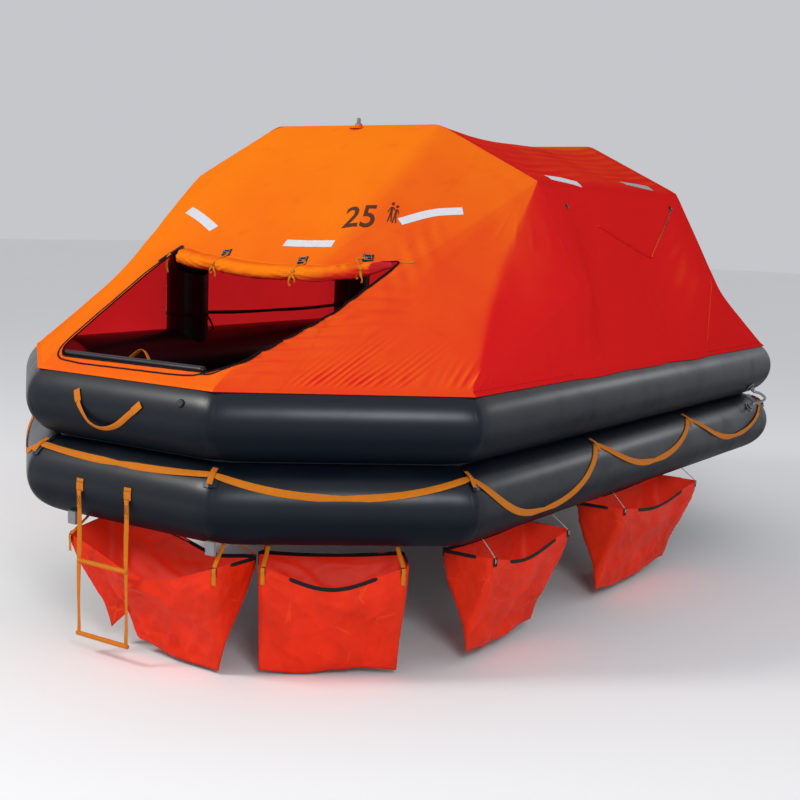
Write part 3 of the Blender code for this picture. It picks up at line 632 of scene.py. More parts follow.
def woven(name, key, wear):
    """Woven webbing: ribs along it, picks across it, paler in patches where it has rubbed, and darker
    between its threads, which is painted shade.
    """
    colour = getattr(bpy.context.scene.raft_trim, key)
    web = Finish(name, Specular_IOR_Level=0.15)
    ribs = web.threads(0.0024, "X", "UV")
    picks = web.threads(0.0019, "Y", "UV")
    painted_lit_and_faded = web.step(web.cloudy(24.0, 5.0, 0.7), 0.45, 0.75)
    tone = web.mix(painted_lit_and_faded * wear, colour, [min(1.0, channel * 1.3 + 0.004) for channel in colour])
    # Painted shade: darker in the grooves between the threads.
    tone = web.mix((1 - ribs * picks) * 0.28, tone, deeper(colour, 0.45))
    web.relief(ribs * 0.7 + picks * 0.45, 0.0007, 0.8)
    return web.shade(Base_Color=tone, Roughness=0.62 + painted_lit_and_faded * 0.15)


def bag_cloth(name):
    """Thin coated cloth of the ballast bags, lighter orange in patches along thin crease lines, which is
    painted highlight.
    """
    colours = bpy.context.scene.raft_trim
    cloth = Finish(name, Specular_IOR_Level=0.12)
    blotches = cloth.step(cloth.cloudy(5.0, 4.0, 0.55), 0.3, 0.75)
    colour = cloth.mix(blotches, deeper(colours.bag, 0.80), colours.bag)
    # Painted highlight: lighter orange along the edges of cells, in patches, for light caught on creases.
    edges = 1 - cloth.step(cloth.cells(5.5, "DISTANCE_TO_EDGE"), 0.0, 0.020)
    creases = edges * cloth.step(cloth.cloudy(9.0), 0.48, 0.66)
    colour = cloth.mix(creases * 0.50, colour, colours.bag_crease)
    crumple = cloth.cells(8.0) * 2.6 + cloth.cells(19.0) * 1.1
    folds = cloth.weave(0.0018, "XZ") * 0.04 + crumple + cloth.cloudy(26.0, 5.0, 0.65) * 0.5
    cloth.relief(folds, 0.006, 0.72)
    return cloth.shade(Base_Color=colour, Roughness=0.42 + cloth.cloudy(60.0) * 0.18)


def bag_lining(name):
    """The bags' inner face, which glows with painted light standing in for daylight shining through."""
    colours = bpy.context.scene.raft_trim
    cloth = Finish(name, Roughness=0.65, Emission_Strength=0.16)
    colour = cloth.mix(cloth.cloudy(5.0, 4.0), deeper(colours.bag, 0.7), deeper(colours.bag, 0.95))
    cloth.relief(cloth.cloudy(26.0, 5.0, 0.65), 0.004, 0.6)
    return cloth.shade(Base_Color=colour, Emission_Color=colour)


def zip_tape(name):
    """Dark zip with its teeth across it."""
    zipper = Finish(name, Specular_IOR_Level=0.08)
    teeth = zipper.threads(0.0032, "Y", "UV")
    zipper.relief(teeth, 0.001, 0.8)
    dark = bpy.context.scene.raft_trim.zip
    return zipper.shade(Base_Color=zipper.mix(teeth * 0.4, dark, deeper(dark, 2.6)),
                        Roughness=0.45 + zipper.cloudy(40.0) * 0.2)


def reflective_tape(name, tape_brightness):
    """Retroreflective tape: silver-white with a fine honeycomb under a clear face."""
    silver = bpy.context.scene.raft_trim.tape
    tape = Finish(name, Metallic=0.15, Coat_Weight=0.5, Coat_Roughness=0.18)
    comb = tape.step(tape.cells(260.0, "DISTANCE_TO_EDGE"), 0.0, 0.12)
    dirt = tape.step(tape.cloudy(18.0, 5.0, 0.7), 0.5, 0.8)
    colour = tape.mix(comb, deeper(silver, 0.72 * tape_brightness), deeper(silver, tape_brightness))
    tape.relief(comb + tape.cloudy(50.0) * 0.6, 0.0008, 0.5)
    return tape.shade(Base_Color=tape.mix(dirt * 0.3, colour, deeper(silver, 0.55)),
                      Roughness=0.30 + dirt * 0.2)


def printing_ink(name):
    ink = Finish(name, Specular_IOR_Level=0.08)
    worn = ink.step(ink.cloudy(70.0, 6.0, 0.75), 0.50, 0.72)
    base = bpy.context.scene.raft_trim.ink
    ink.relief(ink.weave(0.0021, "XZ"), 0.0006, 0.4)
    return ink.shade(Base_Color=ink.mix(worn * 0.35, base, deeper(base, 2.2)),
                     Roughness=0.55 + worn * 0.2)


def moulded_plastic(name, key, roughness):
    """Moulded plastic with a fine grain and grime."""
    colour = getattr(bpy.context.scene.raft_trim, key)
    plastic = Finish(name, Specular_IOR_Level=0.25)
    grime = plastic.step(plastic.cloudy(60.0, 5.0, 0.65), 0.45, 0.78)
    plastic.relief(plastic.cloudy(900.0, 2.0) + plastic.cloudy(120.0), 0.0004, 0.5)
    return plastic.shade(Base_Color=plastic.mix(grime * 0.5, colour, deeper(colour, 0.55)),
                         Roughness=roughness + grime * 0.2)


def hose_rubber(name):
    hose = Finish(name)
    grime = hose.step(hose.cloudy(40.0, 5.0, 0.65), 0.4, 0.75)
    hose.relief(hose.threads(0.0035, "Z") + hose.cloudy(150.0) * 0.5, 0.0008, 0.5)
    base = bpy.context.scene.raft_trim.hose
    return hose.shade(Base_Color=hose.mix(grime * 0.6, base, deeper(base, 0.5)),
                      Roughness=0.42 + grime * 0.2)


def cylinder_steel(name):
    """Painted, brushed cylinder steel with rub marks along it."""
    steel = Finish(name, Metallic=0.85)
    rubs = steel.step(steel.cloudy(30.0, 6.0, 0.75, (1, 0.2, 1)), 0.50, 0.72)
    steel.relief(steel.cloudy(220.0, 3.0, 0.6, (1, 0.08, 1)), 0.0005, 0.5)
    base = bpy.context.scene.raft_trim.steel
    return steel.shade(Base_Color=steel.mix(rubs * 0.6, base, deeper(base, 0.55)),
                       Roughness=0.30 + rubs * 0.22)


# Each material's maker, and the maker's settings.
FINISHES = {
    # The canopy and door cloths carry painted light and shade; the door's does not turn less orange where
    # it faces up.
    "canopy_cloth": (canopy_cloth, 0.32), "door_cloth": (canopy_cloth, 0.0),
    # canopy_lining glows with painted light; door_lining is the same lining without the glow.
    "canopy_lining": (canopy_lining, 1.0), "door_lining": (canopy_lining, 0.0),
    "tube_rubber": (tube_rubber,), "weld_tape": (weld_tape,), "floor_cloth": (floor_cloth,),
    "orange_webbing": (woven, "webbing", 0.5), "black_webbing": (woven, "dark", 0.8),
    "pale_cord": (woven, "cord", 0.4), "bag_cloth": (bag_cloth,), "bag_lining": (bag_lining,),
    "zip_tape": (zip_tape,), "reflective_tape": (reflective_tape, 1.0),
    # dull_tape is the reflective tape made darker.
    "dull_tape": (reflective_tape, 0.32), "printing_ink": (printing_ink,),
    "pale_plastic": (moulded_plastic, "pale", 0.32), "dark_plastic": (moulded_plastic, "dark", 0.36),
    "buckle_wire": (moulded_plastic, "wire", 0.40), "knob_plastic": (moulded_plastic, "knob", 0.35),
    "hose_rubber": (hose_rubber,), "cylinder_steel": (cylinder_steel,),
}


def finish(name):
    """The material of that name, made the first time it is asked for."""
    maker, *settings = FINISHES[name]
    return bpy.data.materials.get("raft_" + name) or maker(name, *settings)


def arch_line():
    """The arch's centreline from its left foot over to its right one."""
    right = [Vector(p) for p in ARCH_HALF]
    return [Vector((-p.x, p.y)) for p in right] + right[::-1]


def crest_half():
    """The cloth's line over an arch: middle, crown, knee, elbow and foot, as (x, z)."""
    over = moved_line(arch_line(), -CREST_RISE)
    return np.array([(0.0, over[4].y)] + [tuple(p) for p in over[4:]])


def clear_of_arches(points, reach):
    """Pushes points that are nearer to an arch's centreline than the reach out to it."""
    points = points.copy()
    for y in (-ARCH_Y, ARCH_Y):
        line = np.array([(p.x, y, p.y) for p in arch_line()])
        best = np.full(points.shape[:-1], np.inf)
        nearest = np.zeros_like(points)
        for start, end in zip(line, line[1:]):
            way = end - start
            share = np.clip(((points - start) @ way) / way.dot(way), 0, 1)[..., None]
            at = start + way * share
            distance = np.linalg.norm(points - at, axis=-1)
            closer = distance < best
            best[closer], nearest[closer] = distance[closer], at[closer]
        inside = best < reach
        away = points[inside] - nearest[inside]
        points[inside] = nearest[inside] + away * (reach / best[inside])[:, None]
    return points


def hem_points(place, angle, lift=HEM_LIFT):
    """The cloth on the upper tube. Past place 9 it runs on along the right side up to the arch."""
    place = np.asarray(place, float)
    on_side = place >= 9
    points = tube_points(np.where(on_side, 9.0, place), angle, UPPER_Z, TUBE_RADIUS + lift)
    points[..., 1] += np.where(on_side, (place - 9) * (-CREST_Y - points[..., 1]), 0.0)
    return points


# Right half of an end panel: crest point between middle (0) and foot (4), hem place, sag, and the
# step between the columns that lead up to the next of these lines.
END_RULINGS = (
    (0, 7.5, 0.000, 0.010), (1, 8.0, 0.004, 0.018), (1.5, 8.0, 0.008, 0.018), (2, 8.0, 0.015, 0.0085),
    (2, 8.26, 0.022, 0.0050), (2, 8.7, 0.045, 0.0105), (2, 9.0, 0.060, 0.018), (2.5, 9.0, 0.045, 0.020),
    (3, 9.0, 0.020, 0.020), (3, 9.5, 0.010, 0.022), (3, 10.0, 0.000, 0.022),
)
# Rows up the end panel and on its lap, and how close the cloth comes to an arch's centreline.
END_ROWS = 88
HEM_ROWS = 3
ARCH_REACH = 0.132
# The left half keeps every third column.
LEFT_THINNING = 3

END_RISES = np.linspace(0, 1, END_ROWS + 1) ** 1.4


def crest_points():
    """The crest's marks over the near arch, from its middle to its foot."""
    return np.array([(x, -CREST_Y, z) for x, z in crest_half()])


def end_columns():
    """Each column of the right half: crest index, hem place and sag."""
    columns = []
    for (*start, step), (*end, _) in zip(END_RULINGS, END_RULINGS[1:]):
        start, end = np.array(start), np.array(end)
        ends = between(np.array((start[0], end[0])), range(5), crest_points())
        hems = hem_points(np.array((start[1], end[1])), WRAP_ANGLE)
        length = max(np.linalg.norm(ends[1] - ends[0]), np.linalg.norm(hems[1] - hems[0]))
        count = max(1, int(math.ceil(length / step)))
        columns.append(start + (end - start) * (np.arange(count) / count)[:, None])
    return np.concatenate(columns + [[END_RULINGS[-1][:3]]])


def end_half():
    """Base grid of the right half: rows from the hem up to the crest, columns from the middle."""
    crest_at, place, sag = end_columns().T
    top = between(crest_at, range(5), crest_points())
    wrap = hem_points(place, WRAP_ANGLE)
    rows = [hem_points(place, HEM_ANGLE + (WRAP_ANGLE - HEM_ANGLE) * k / HEM_ROWS)
            for k in range(HEM_ROWS)]
    inward = unit(CABIN_HEART - (wrap + top) / 2)
    for rise in END_RISES:
        sunk = math.sin(math.pi * rise) ** 2 * sag
        rows.append(wrap + (top - wrap) * rise + inward * sunk[:, None])
    return np.stack(rows)


def end_wrinkles(grid, rise):
    """How far the end panel's cloth stands out of its smooth shape, in metres."""
    x, y, z = np.moveaxis(grid, -1, 0)
    slope = np.hypot(y + 2.6, z - 0.65)
    soft = 0.0070 * layered_noise(x * 2.3, slope * 2.0, 11) * ramp(rise, 0.02, 0.25)
    hem = 0.0020 * folds(x * 9 + 0.6 * noise(x * 4, y * 4, 5), 3, 0.3) * bump_at(rise, 0.03, 0.04)
    # Tension folds that climb from the hem beside the near corner, and broad ones by the doorway.
    along, climb = x * 0.645 + y * 0.764, np.maximum(0, z - 0.640) * 1.26
    drift = 0.55 * noise(x * 3, slope * 3, 21) + 0.25 * noise(x * 9, slope * 5, 23)
    across = along * 27 - climb * 35
    lean = along - 1.1 * climb
    window = ramp(lean, -1.42, -1.22) * (1 - ramp(lean, -0.92, -0.80)) * (1 - ramp(climb, 0.06, 0.33))
    patchy = 0.55 + 0.60 * noise(across * 0.55, climb * 5, 25)
    tension = 0.0095 * folds(across + 0.8 * drift, 3, 0.3) * window * patchy
    door = bump_at(x - slope * 0.42, 0.50, 0.09) * ramp(slope, 0.06, 0.22)
    door = door * (1 - ramp(slope, 0.80, 1.05))
    broad = 0.0120 * folds((x * 0.66 - slope * 0.75) * 17 + drift, 3, 0.25) * door
    corner = bump_at(along, -0.50, 0.12) * bump_at(climb, 0.07, 0.07)
    knots = 0.0060 * folds(along * 22 - climb * 14 + drift * 1.4, 3, 0.25) * corner
    # Short pulls below the knee, and under the roll's right end.
    knee = np.arctan2(x - 1.09, 1.62 - z)
    pulls = 0.0042 * folds(knee * 8.5 + 1.6 * noise(x * 5, z * 4, 51), 5, 0.2)
    pulls = pulls * ramp(noise(x * 4 + z * 3, z * 5, 53), -0.1, 0.5)
    pulls = pulls * bump_at(z, 1.14, 0.20) * bump_at(x, 1.20, 0.14)
    seam = bump_at(x, 0.86, 0.07) * bump_at(z, 1.24, 0.14)
    drawn = 0.0055 * folds((x - 0.84) * 16 + z * 12 + drift, 2, 0.35) * seam
    # Short creases that lean along the slope, in patches, deeper towards the near corner.
    leaning = x * 10 - slope * 5 + 1.3 * noise(x * 3.1, slope * 2.7, 57)
    patches = ramp(noise(x * 3.4, slope * 2.9, 59), 0.05, 0.55) * (0.45 + 0.55 * ramp(x, 0.55, 1.0))
    creases = 0.0042 * folds(leaning, 5, 0.2) * patches * ramp(slope, 0.15, 0.35)
    return soft + hem + tension + broad + knots + pulls + drawn + creases


def end_grid():
    """The whole end panel's outer face, rows from the hem up to the crest, left to right."""
    right = end_half()
    left = right[:, ::-1][:, :-1] * (-1, 1, 1)
    grid = np.concatenate([left[:, ::LEFT_THINNING], right], 1)
    rise = np.concatenate([np.zeros(HEM_ROWS), END_RISES])[:, None]
    share = (ramp(rise, 0.0, 0.05) * (1 - ramp(rise, 0.88, 1.0)))[..., None]
    grid = softened(grid, 3, 1) * (1 - share) + softened(grid, 34, 1) * share
    grid = clear_of_arches(grid, ARCH_REACH)
    grid[HEM_ROWS + 1:-1] = softened(grid, 5, 0)[HEM_ROWS + 1:-1]
    normal = facing(grid_normals(grid), grid - CABIN_HEART)
    quiet = ramp(rise, 0.0, 0.04) * (1 - ramp(rise, 0.95, 1.0))
    depth = end_wrinkles(grid, rise) * quiet * bpy.context.scene.raft_canopy.wrinkles
    return grid + normal * depth[..., None]


def door_outline():
    """The doorway's rounded outline as (x, z), counter-clockwise from its lower left corner."""
    line = resampled(DOOR_SILL + DOOR_HEAD[1:] + DOOR_SILL[:1], DOOR_STEP)[:-1]
    for _ in range(DOOR_ROUNDING):
        line = (np.roll(line, 1, 0) + 2 * line + np.roll(line, -1, 0)) / 4
    return line


def inside_outline(points, line):
    x, z = points[..., 0, None], points[..., 1, None]
    x0, z0 = line.T
    x1, z1 = np.roll(line, -1, 0).T
    crossing = (z0 > z) != (z1 > z)
    rise = np.where(np.abs(z1 - z0) < 1e-12, 1e-12, z1 - z0)
    return (crossing & (x < x0 + (z - z0) / rise * (x1 - x0))).sum(-1) % 2 == 1


def open_doorway(grid):
    """Snaps the grid's points to the doorway's edge. Gives the grid and the faces that stay."""
    line = door_outline()
    normal = grid_normals(grid)
    flat = grid[..., (0, 2)]
    inside = inside_outline(flat, line) & (grid[..., 1] < -1.2)
    corners = [inside[:-1, :-1], inside[:-1, 1:], inside[1:, 1:], inside[1:, :-1]]
    keep = ~(corners[0] & corners[1] & corners[2] & corners[3])
    at = np.argwhere(inside)
    points = grid[inside]
    gap = np.linalg.norm(points[:, None, (0, 2)] - line[None], axis=-1)
    moved = line[gap.argmin(1)] - points[:, (0, 2)]
    n = normal[inside]
    points[:, 1] -= (n[:, 0] * moved[:, 0] + n[:, 2] * moved[:, 1]) / n[:, 1]
    points[:, (0, 2)] += moved
    grid = grid.copy()
    grid[at[:, 0], at[:, 1]] = points
    return grid, keep


def turned_over(piece, way):
    """Turns a piece's faces over if most of them point away from the way at their centre."""
    if sum(face.normal.dot(way(face.center)) * face.area for face in piece.data.polygons) < 0:
        piece.data.flip_normals()
    return piece


def turned_outwards(piece, heart):
    """Turns a cloth's faces away from a point."""
    return turned_over(piece, lambda at: at - Vector(heart))


def cloth_piece(name, grid, heart, keep=None):
    """Canopy cloth over a grid of points, with its lining inside."""
    faces = grid_faces(*grid.shape[:2], keep=keep)
    piece = mesh_piece(name, grid, faces, [finish("canopy_cloth"), finish("canopy_lining")])
    with edited(piece) as bm:
        loose = [vert for vert in bm.verts if not vert.link_faces]
        bmesh.ops.delete(bm, geom=loose, context="VERTS")
        bmesh.ops.remove_doubles(bm, verts=bm.verts, dist=WELD)
        bmesh.ops.dissolve_degenerate(bm, edges=bm.edges, dist=WELD)
    return thicken(turned_outwards(piece, heart), CLOTH, 1)


def surface_of(piece):
    """A tree for the nearest point of a piece's outer face."""
    mesh = piece.data
    return BVHTree.FromPolygons([v.co for v in mesh.vertices], [p.vertices for p in mesh.polygons])


def laid(tree, points, lift):
    """Points moved to the nearest ones of a surface and lifted off it, with the surface's normals."""
    points = np.asarray(points, float)
    found = [tree.find_nearest(Vector(p)) for p in points.reshape(-1, 3)]
    at = np.array([hit[0] for hit in found]).reshape(points.shape)
    normal = np.array([hit[1] for hit in found]).reshape(points.shape)
    return at + normal * lift, normal


def laid_strip(name, tree, line, width, material, lift=0.0014, thickness=0.001, columns=5, step=0.01):
    """A tape or seam that lies on a surface along a line."""
    path, normal = laid(tree, resampled(line, step), 0)
    across = unit(np.cross(np.gradient(path, axis=0), normal))
    offsets = np.linspace(-0.5, 0.5, columns) * width
    grid, _ = laid(tree, path[:, None] + across[:, None] * offsets[:, None], lift)
    uv = np.stack(np.broadcast_arrays(offsets, run_along(path)[:, None]), -1)
    piece = mesh_piece(name, grid, grid_faces(*grid.shape[:2]), [material], uv)
    return thicken(turned_over(piece, lambda at: tree.find_nearest(at)[1]), thickness)


# Cloth between the arches: steps along its section and rows, how far it sags, and how far along the
# raft, and how gently, an arch's leg still holds it up.
SECTION_STEP = 0.016
MIDDLE_ROWS = 72
ROOF_SAG = 0.050
SIDE_SAG = 0.030
LEG_RIDGE = (0.78, 0.22)
CABIN_MIDDLE = (0, 0, 0.8)


def section_leg(start, end):
    """Even points of the cloth's section from a start up to just before an end."""
    count = int(math.ceil(np.linalg.norm(end - start) / SECTION_STEP))
    return start + (end - start) * (np.arange(count) / count)[:, None]


def middle_grid():
    """The cloth between the arches, rows from the near arch to the far one, columns from the left
    hem over the roof to the right one, with the columns at which the roof begins and ends."""
    middle, crown, knee, elbow, _ = crest_half()
    hem = hem_points(9.5, np.linspace(HEM_ANGLE, WRAP_ANGLE, HEM_ROWS + 1))[:, (0, 2)]
    wrap = hem[-1]
    side = np.concatenate([section_leg(wrap, elbow), section_leg(elbow, knee)])
    roof = np.concatenate([section_leg(knee, crown), section_leg(crown, middle), middle[None]])
    y = np.linspace(-CREST_Y, CREST_Y, MIDDLE_ROWS + 1)[:, None]
    reach, width = LEG_RIDGE
    ridge = np.exp(-((np.maximum(0.0, reach - np.abs(y)) / width) ** 2))[..., None]
    rise = (np.linalg.norm(side - wrap, axis=1) / np.linalg.norm(knee - wrap))[None, :, None]
    flat = wrap + (knee - wrap) * np.minimum(rise, 1.0)
    sag = SIDE_SAG * 4 * rise * (1 - rise) * (1 - ridge) * np.array((1.0, 0.0))
    side = flat + (side - flat) * ridge - np.maximum(sag, 0)
    dip = ROOF_SAG * (1 - (y / CREST_Y) ** 2)
    share = np.interp(roof[:, 0], (0, crown[0], (crown[0] + knee[0]) / 2, knee[0]), (1, 0.9, 0.5, 0))
    roof = np.broadcast_to(roof, (len(y),) + roof.shape).copy()
    roof[..., 1] -= dip * share
    half = np.concatenate([np.broadcast_to(hem[:-1], (len(y), HEM_ROWS, 2)), side, roof], 1)
    half = np.stack([half[..., 0], np.broadcast_to(y, half.shape[:2]), half[..., 1]], -1)
    grid = np.concatenate([half * (-1, 1, 1), half[:, ::-1][:, 1:]], 1)
    near_arch = ramp(np.abs(y), 0.62, CREST_Y)[..., None]
    rounded = softened(grid, 26, 1)
    for hems in (slice(None, HEM_ROWS + 1), slice(-HEM_ROWS - 1, None)):
        rounded[:, hems] = grid[:, hems]
    grid = softened(grid, 3, 1) * near_arch + rounded * (1 - near_arch)
    grid = clear_of_arches(grid, ARCH_REACH)
    grid[1:-1] = softened(grid, 3, 0)[1:-1]
    sway = 0.032 * noise(y[:, 0] * 3.1, 0, 87) + 0.016 * noise(y[:, 0] * 8, 0, 89) + 0.012
    for k in range(HEM_ROWS):
        share = k / HEM_ROWS
        angle = HEM_ANGLE + (WRAP_ANGLE - HEM_ANGLE) * share - sway * (1 - share)
        lapped = hem_points(np.full(len(y), 9.5), angle)
        grid[:, k, 0], grid[:, -1 - k, 0] = -lapped[:, 0], lapped[:, 0]
        grid[:, k, 2] = grid[:, -1 - k, 2] = lapped[:, 2]
    normal = facing(grid_normals(grid), grid - CABIN_MIDDLE)
    columns = np.arange(grid.shape[1])
    hems = np.minimum(columns, columns[::-1])[None, :]
    quiet = ramp(CREST_Y - np.abs(y), 0.0, 0.10) * ramp(hems, HEM_ROWS, HEM_ROWS + 8)
    depth = middle_wrinkles(grid) * quiet * bpy.context.scene.raft_canopy.wrinkles
    eave = HEM_ROWS + side.shape[1]
    return grid + normal * depth[..., None], eave, grid.shape[1] - 1 - eave


def middle_wrinkles(grid):
    """How far the cloth between the arches stands out of its smooth shape, in metres."""
    x, y, z = np.moveaxis(grid, -1, 0)
    off = np.abs(x)
    soft = 0.005 * layered_noise(y * 2.2, x * 2.4 + z * 1.1, 61)
    slope = ramp(off, 0.45, 0.62) * (1 - ramp(off, 0.98, 1.12)) * ramp(z, 1.3, 1.5)
    lengthwise = folds(off * 13 + 0.9 * noise(y * 1.6, x * 2, 71) + 0.25 * y, 2, 0.4)
    long_folds = 0.0080 * lengthwise * slope * (0.55 + 0.45 * noise(y * 2.1, x * 5, 73))
    side = ramp(off, 1.12, 1.2)
    fan = np.arctan2(np.abs(y) - 0.86, z - 1.45)
    pulls = 0.0045 * folds(fan * 4.2 + 0.7 * noise(y * 2, z * 2, 81), 2, 0.4) * side
    pulls = pulls * ramp(np.abs(y), 0.25, 0.6)
    hem = 0.0026 * folds(y * 10 + 0.7 * noise(y * 4, z * 4, 91), 3, 0.3) * bump_at(z, 0.68, 0.06) * side
    upright = folds(y * 8.5 + z * 2.6 + 1.2 * noise(y * 2.6, z * 2.2, 93), 5, 0.2)
    creases = 0.0040 * upright * ramp(noise(y * 2.9, z * 3.3, 95), 0.05, 0.5) * side
    return soft + long_folds + pulls + hem + creases


def seam_of(name, tree, line, width=0.007):
    return laid_strip(name, tree, line, width, finish("canopy_cloth"), 0.0006, 0.0003, 3, 0.02)


# Flat cuts of the cloth, as (width, length), taken off the finished pieces.
END_CUT = (3.05, 2.55)
ROOF_CUT = (2.25, 1.80)
SIDE_CUT = (1.80, 1.15)
DOOR_CUT = (0.50, 1.13)


def declared(piece, flat, rests_on):
    """Gives a sheet back as it is; the area worked out from its faces and its cut is not used."""
    area = min(sum(face.area for face in piece.data.polygons), flat[0] * flat[1])
    return piece


# Print and tapes on the near end panel: tape lines, the figure "25" and a pictogram's place.
TAPES = (
    ((-0.668, -1.468, 1.403), (-0.296, -1.678, 1.311)),
    ((0.229, -1.748, 1.260), (0.508, -1.732, 1.271)),
    ((0.707, -1.467, 1.385), (0.804, -1.336, 1.434), (0.919, -1.238, 1.449)),
)
ROOF_TAPES = (
    ((1.062, -0.648, 1.636), (1.099, -0.353, 1.618)),
    ((1.028, 0.339, 1.652), (1.074, 0.637, 1.630)),
)
TAPE_WIDTH = 0.052
PRINT_RIGHT = np.array((0.913, 0.400, 0.075))
PRINT_UP = np.array((-0.343, 0.742, 0.573))
INK_LIFT = 0.0012
# Each print's lower left corner, and its width and height.
FIGURES = ((0.484, -1.636, 1.339), (0.152, 0.176))
PICTOGRAM = ((0.648, -1.510, 1.372), (0.060, 0.158))
# The pictogram's two figures: heads as (x, y, radius), limbs as a width and a line, in shares of
# its height.
PICTOGRAM_HEADS = ((0.10, 0.92, 0.085), (0.36, 0.80, 0.080))
PICTOGRAM_LIMBS = (
    (0.13, ((0.10, 0.76), (0.10, 0.42))), (0.07, ((0.07, 0.42), (0.02, 0.0))),
    (0.07, ((0.13, 0.42), (0.20, 0.02))), (0.05, ((0.04, 0.74), (-0.08, 0.48))),
    (0.05, ((0.16, 0.74), (0.27, 0.60))), (0.12, ((0.36, 0.66), (0.34, 0.36))),
    (0.065, ((0.33, 0.36), (0.28, -0.06))), (0.065, ((0.38, 0.36), (0.46, -0.04))),
    (0.05, ((0.42, 0.64), (0.52, 0.42))),
)
SEAMS = (
    ((0.788, -0.890, 1.766), (0.812, -1.027, 1.649), (0.800, -1.082, 1.613), (0.791, -1.270, 1.478),
     (0.809, -1.443, 1.347), (0.827, -1.577, 1.245)),
    ((0.790, -1.880, 1.040), (0.735, -2.110, 0.905), (0.752, -2.199, 0.810), (0.756, -2.310, 0.730),
     (0.752, -2.423, 0.649)),
)
GUTTER_EYELETS = ((1.181, -0.645, 1.492), (1.160, 0.715, 1.508))
GUTTER = ((1.168, -0.256, 1.398), (1.184, 0.020, 1.319), (1.210, 0.387, 1.225), (1.196, 0.529, 1.346),
          (1.160, 0.700, 1.495))
# The loop at the doorway's top left corner, the tail that hangs from it, and the strap at the right.
CORNER_TIE = ((-0.374, -1.842, 1.190), (-0.388, -1.812, 1.208), (-0.402, -1.802, 1.214),
              (-0.420, -1.845, 1.192), (-0.440, -1.885, 1.165), (-0.448, -1.915, 1.140))
CORNER_TAIL = ((-0.420, -1.862, 1.182), (-0.424, -1.880, 1.160), (-0.428, -1.880, 1.120),
               (-0.424, -1.876, 1.085))
PULL_STRAP = ((0.832, -1.640, 1.205), (0.870, -1.628, 1.208), (0.902, -1.612, 1.212))
# The zip's distance outside the doorway's edge, by shares from the top left corner round the sill.
ZIP_INSETS = np.array(((0, 0.010), (0.06, 0.024), (0.28, 0.026), (0.34, 0.036), (0.62, 0.036),
                       (0.72, 0.014), (0.80, 0.0048), (1, 0.0045)))
SILL_TUBE = (-0.515, 0.392)
SILL_TUBE_RADIUS = 0.0185
# Both sides of the raft, with the sign of their X.
SIDES = (("right", 1), ("left", -1))


def figures_on(tree, text, name):
    """Slanted figures lying on the cloth."""
    curve = bpy.data.curves.new(name, "FONT")
    curve.body, curve.offset = text, 0.013
    curve.resolution_u = 6
    word = placed(name, curve)
    mesh = bpy.data.meshes.new_from_object(word.evaluated_get(bpy.context.evaluated_depsgraph_get()))
    bpy.data.objects.remove(word)
    bpy.data.curves.remove(curve)
    flat = np.array([v.co for v in mesh.vertices])
    faces = [list(p.vertices) for p in mesh.polygons]
    bpy.data.meshes.remove(mesh)
    return printed(name, tree, flat[:, :2], faces, *FIGURES)


def printed(name, tree, flat, faces, at, size):
    """Ink on the cloth from a flat drawing, fitted to the print's width and height."""
    flat = (flat - flat.min(0)) / np.ptp(flat, axis=0) * size
    points = np.array(at) + flat[:, :1] * PRINT_RIGHT + flat[:, 1:] * PRINT_UP
    piece = mesh_piece(name, laid(tree, points, INK_LIFT)[0], faces, [finish("printing_ink")])
    with edited(piece) as bm:
        long_edges = [edge for edge in bm.edges if edge.calc_length() > 0.02]
        bmesh.ops.subdivide_edges(bm, edges=long_edges, cuts=2)
        bmesh.ops.triangulate(bm, faces=bm.faces)
        for vert in bm.verts:
            hit = tree.find_nearest(vert.co)
            vert.co = hit[0] + hit[1] * INK_LIFT
        bmesh.ops.recalc_face_normals(bm, faces=bm.faces)
    return thicken(turned_over(piece, lambda at: tree.find_nearest(at)[1]), 0.0006)


def pictogram_on(tree, name):
    """Two plain standing figures, side by side."""
    shapes = []
    for x, y, radius in PICTOGRAM_HEADS:
        turns = np.linspace(0, 2 * np.pi, 14, endpoint=False)
        shapes.append([(x + radius * math.cos(t), y + radius * math.sin(t)) for t in turns])
    for width, ends in PICTOGRAM_LIMBS:
        start, end = [Vector(point) for point in ends]
        way = (end - start).normalized()
        side = Vector((-way.y, way.x)) * width / 2
        shapes.append([tuple(p) for p in (start + side, start - side, end - side, end + side)])
    firsts = np.cumsum([0] + [len(shape) for shape in shapes])
    faces = [list(range(first, last)) for first, last in zip(firsts.tolist(), firsts[1:].tolist())]
    return printed(name, tree, np.concatenate(shapes), faces, *PICTOGRAM)


COLOUR = {"subtype": "COLOR", "size": 3, "min": 0, "max": 1}


class CanopySettings(bpy.types.PropertyGroup):
    # Painted lit colour of the canopy, for cloth that faces the painted light's way.
    painted_lit_and_faded: FloatVectorProperty(
        name="Faded cloth", description="Canopy colour on the side that the sun has been on",
        default=(0.84, 0.190, 0.007), **COLOUR)
    # Painted shade colour of the canopy, for cloth turned away from the painted light.
    shaded: FloatVectorProperty(
        name="Unfaded cloth", description="Canopy colour on the side away from the sun",
        default=(0.70, 0.014, 0.014), **COLOUR)
    lining: FloatVectorProperty(
        name="Lining", description="Colour of the canopy's inner face",
        default=(0.62, 0.014, 0.018), **COLOUR)
    # Way of the painted light by which the canopy's colour is mixed.
    painted_light_way: FloatVectorProperty(
        name="Sun side", description="Way from which the sun has faded the cloth",
        subtype="DIRECTION", size=3, default=(-0.42, -0.80, 0.44))
    # Strength of the lining's painted glow, which stands in for daylight through the cloth.
    glow: FloatProperty(
        name="Daylight through the cloth", description="Strength of the light that the lining gives",
        min=0, max=2, default=0.62)
    wrinkles: FloatProperty(
        name="Wrinkles", description="Depth of the canopy's folds against the measured ones",
        subtype="FACTOR", min=0, max=2, default=1.0)


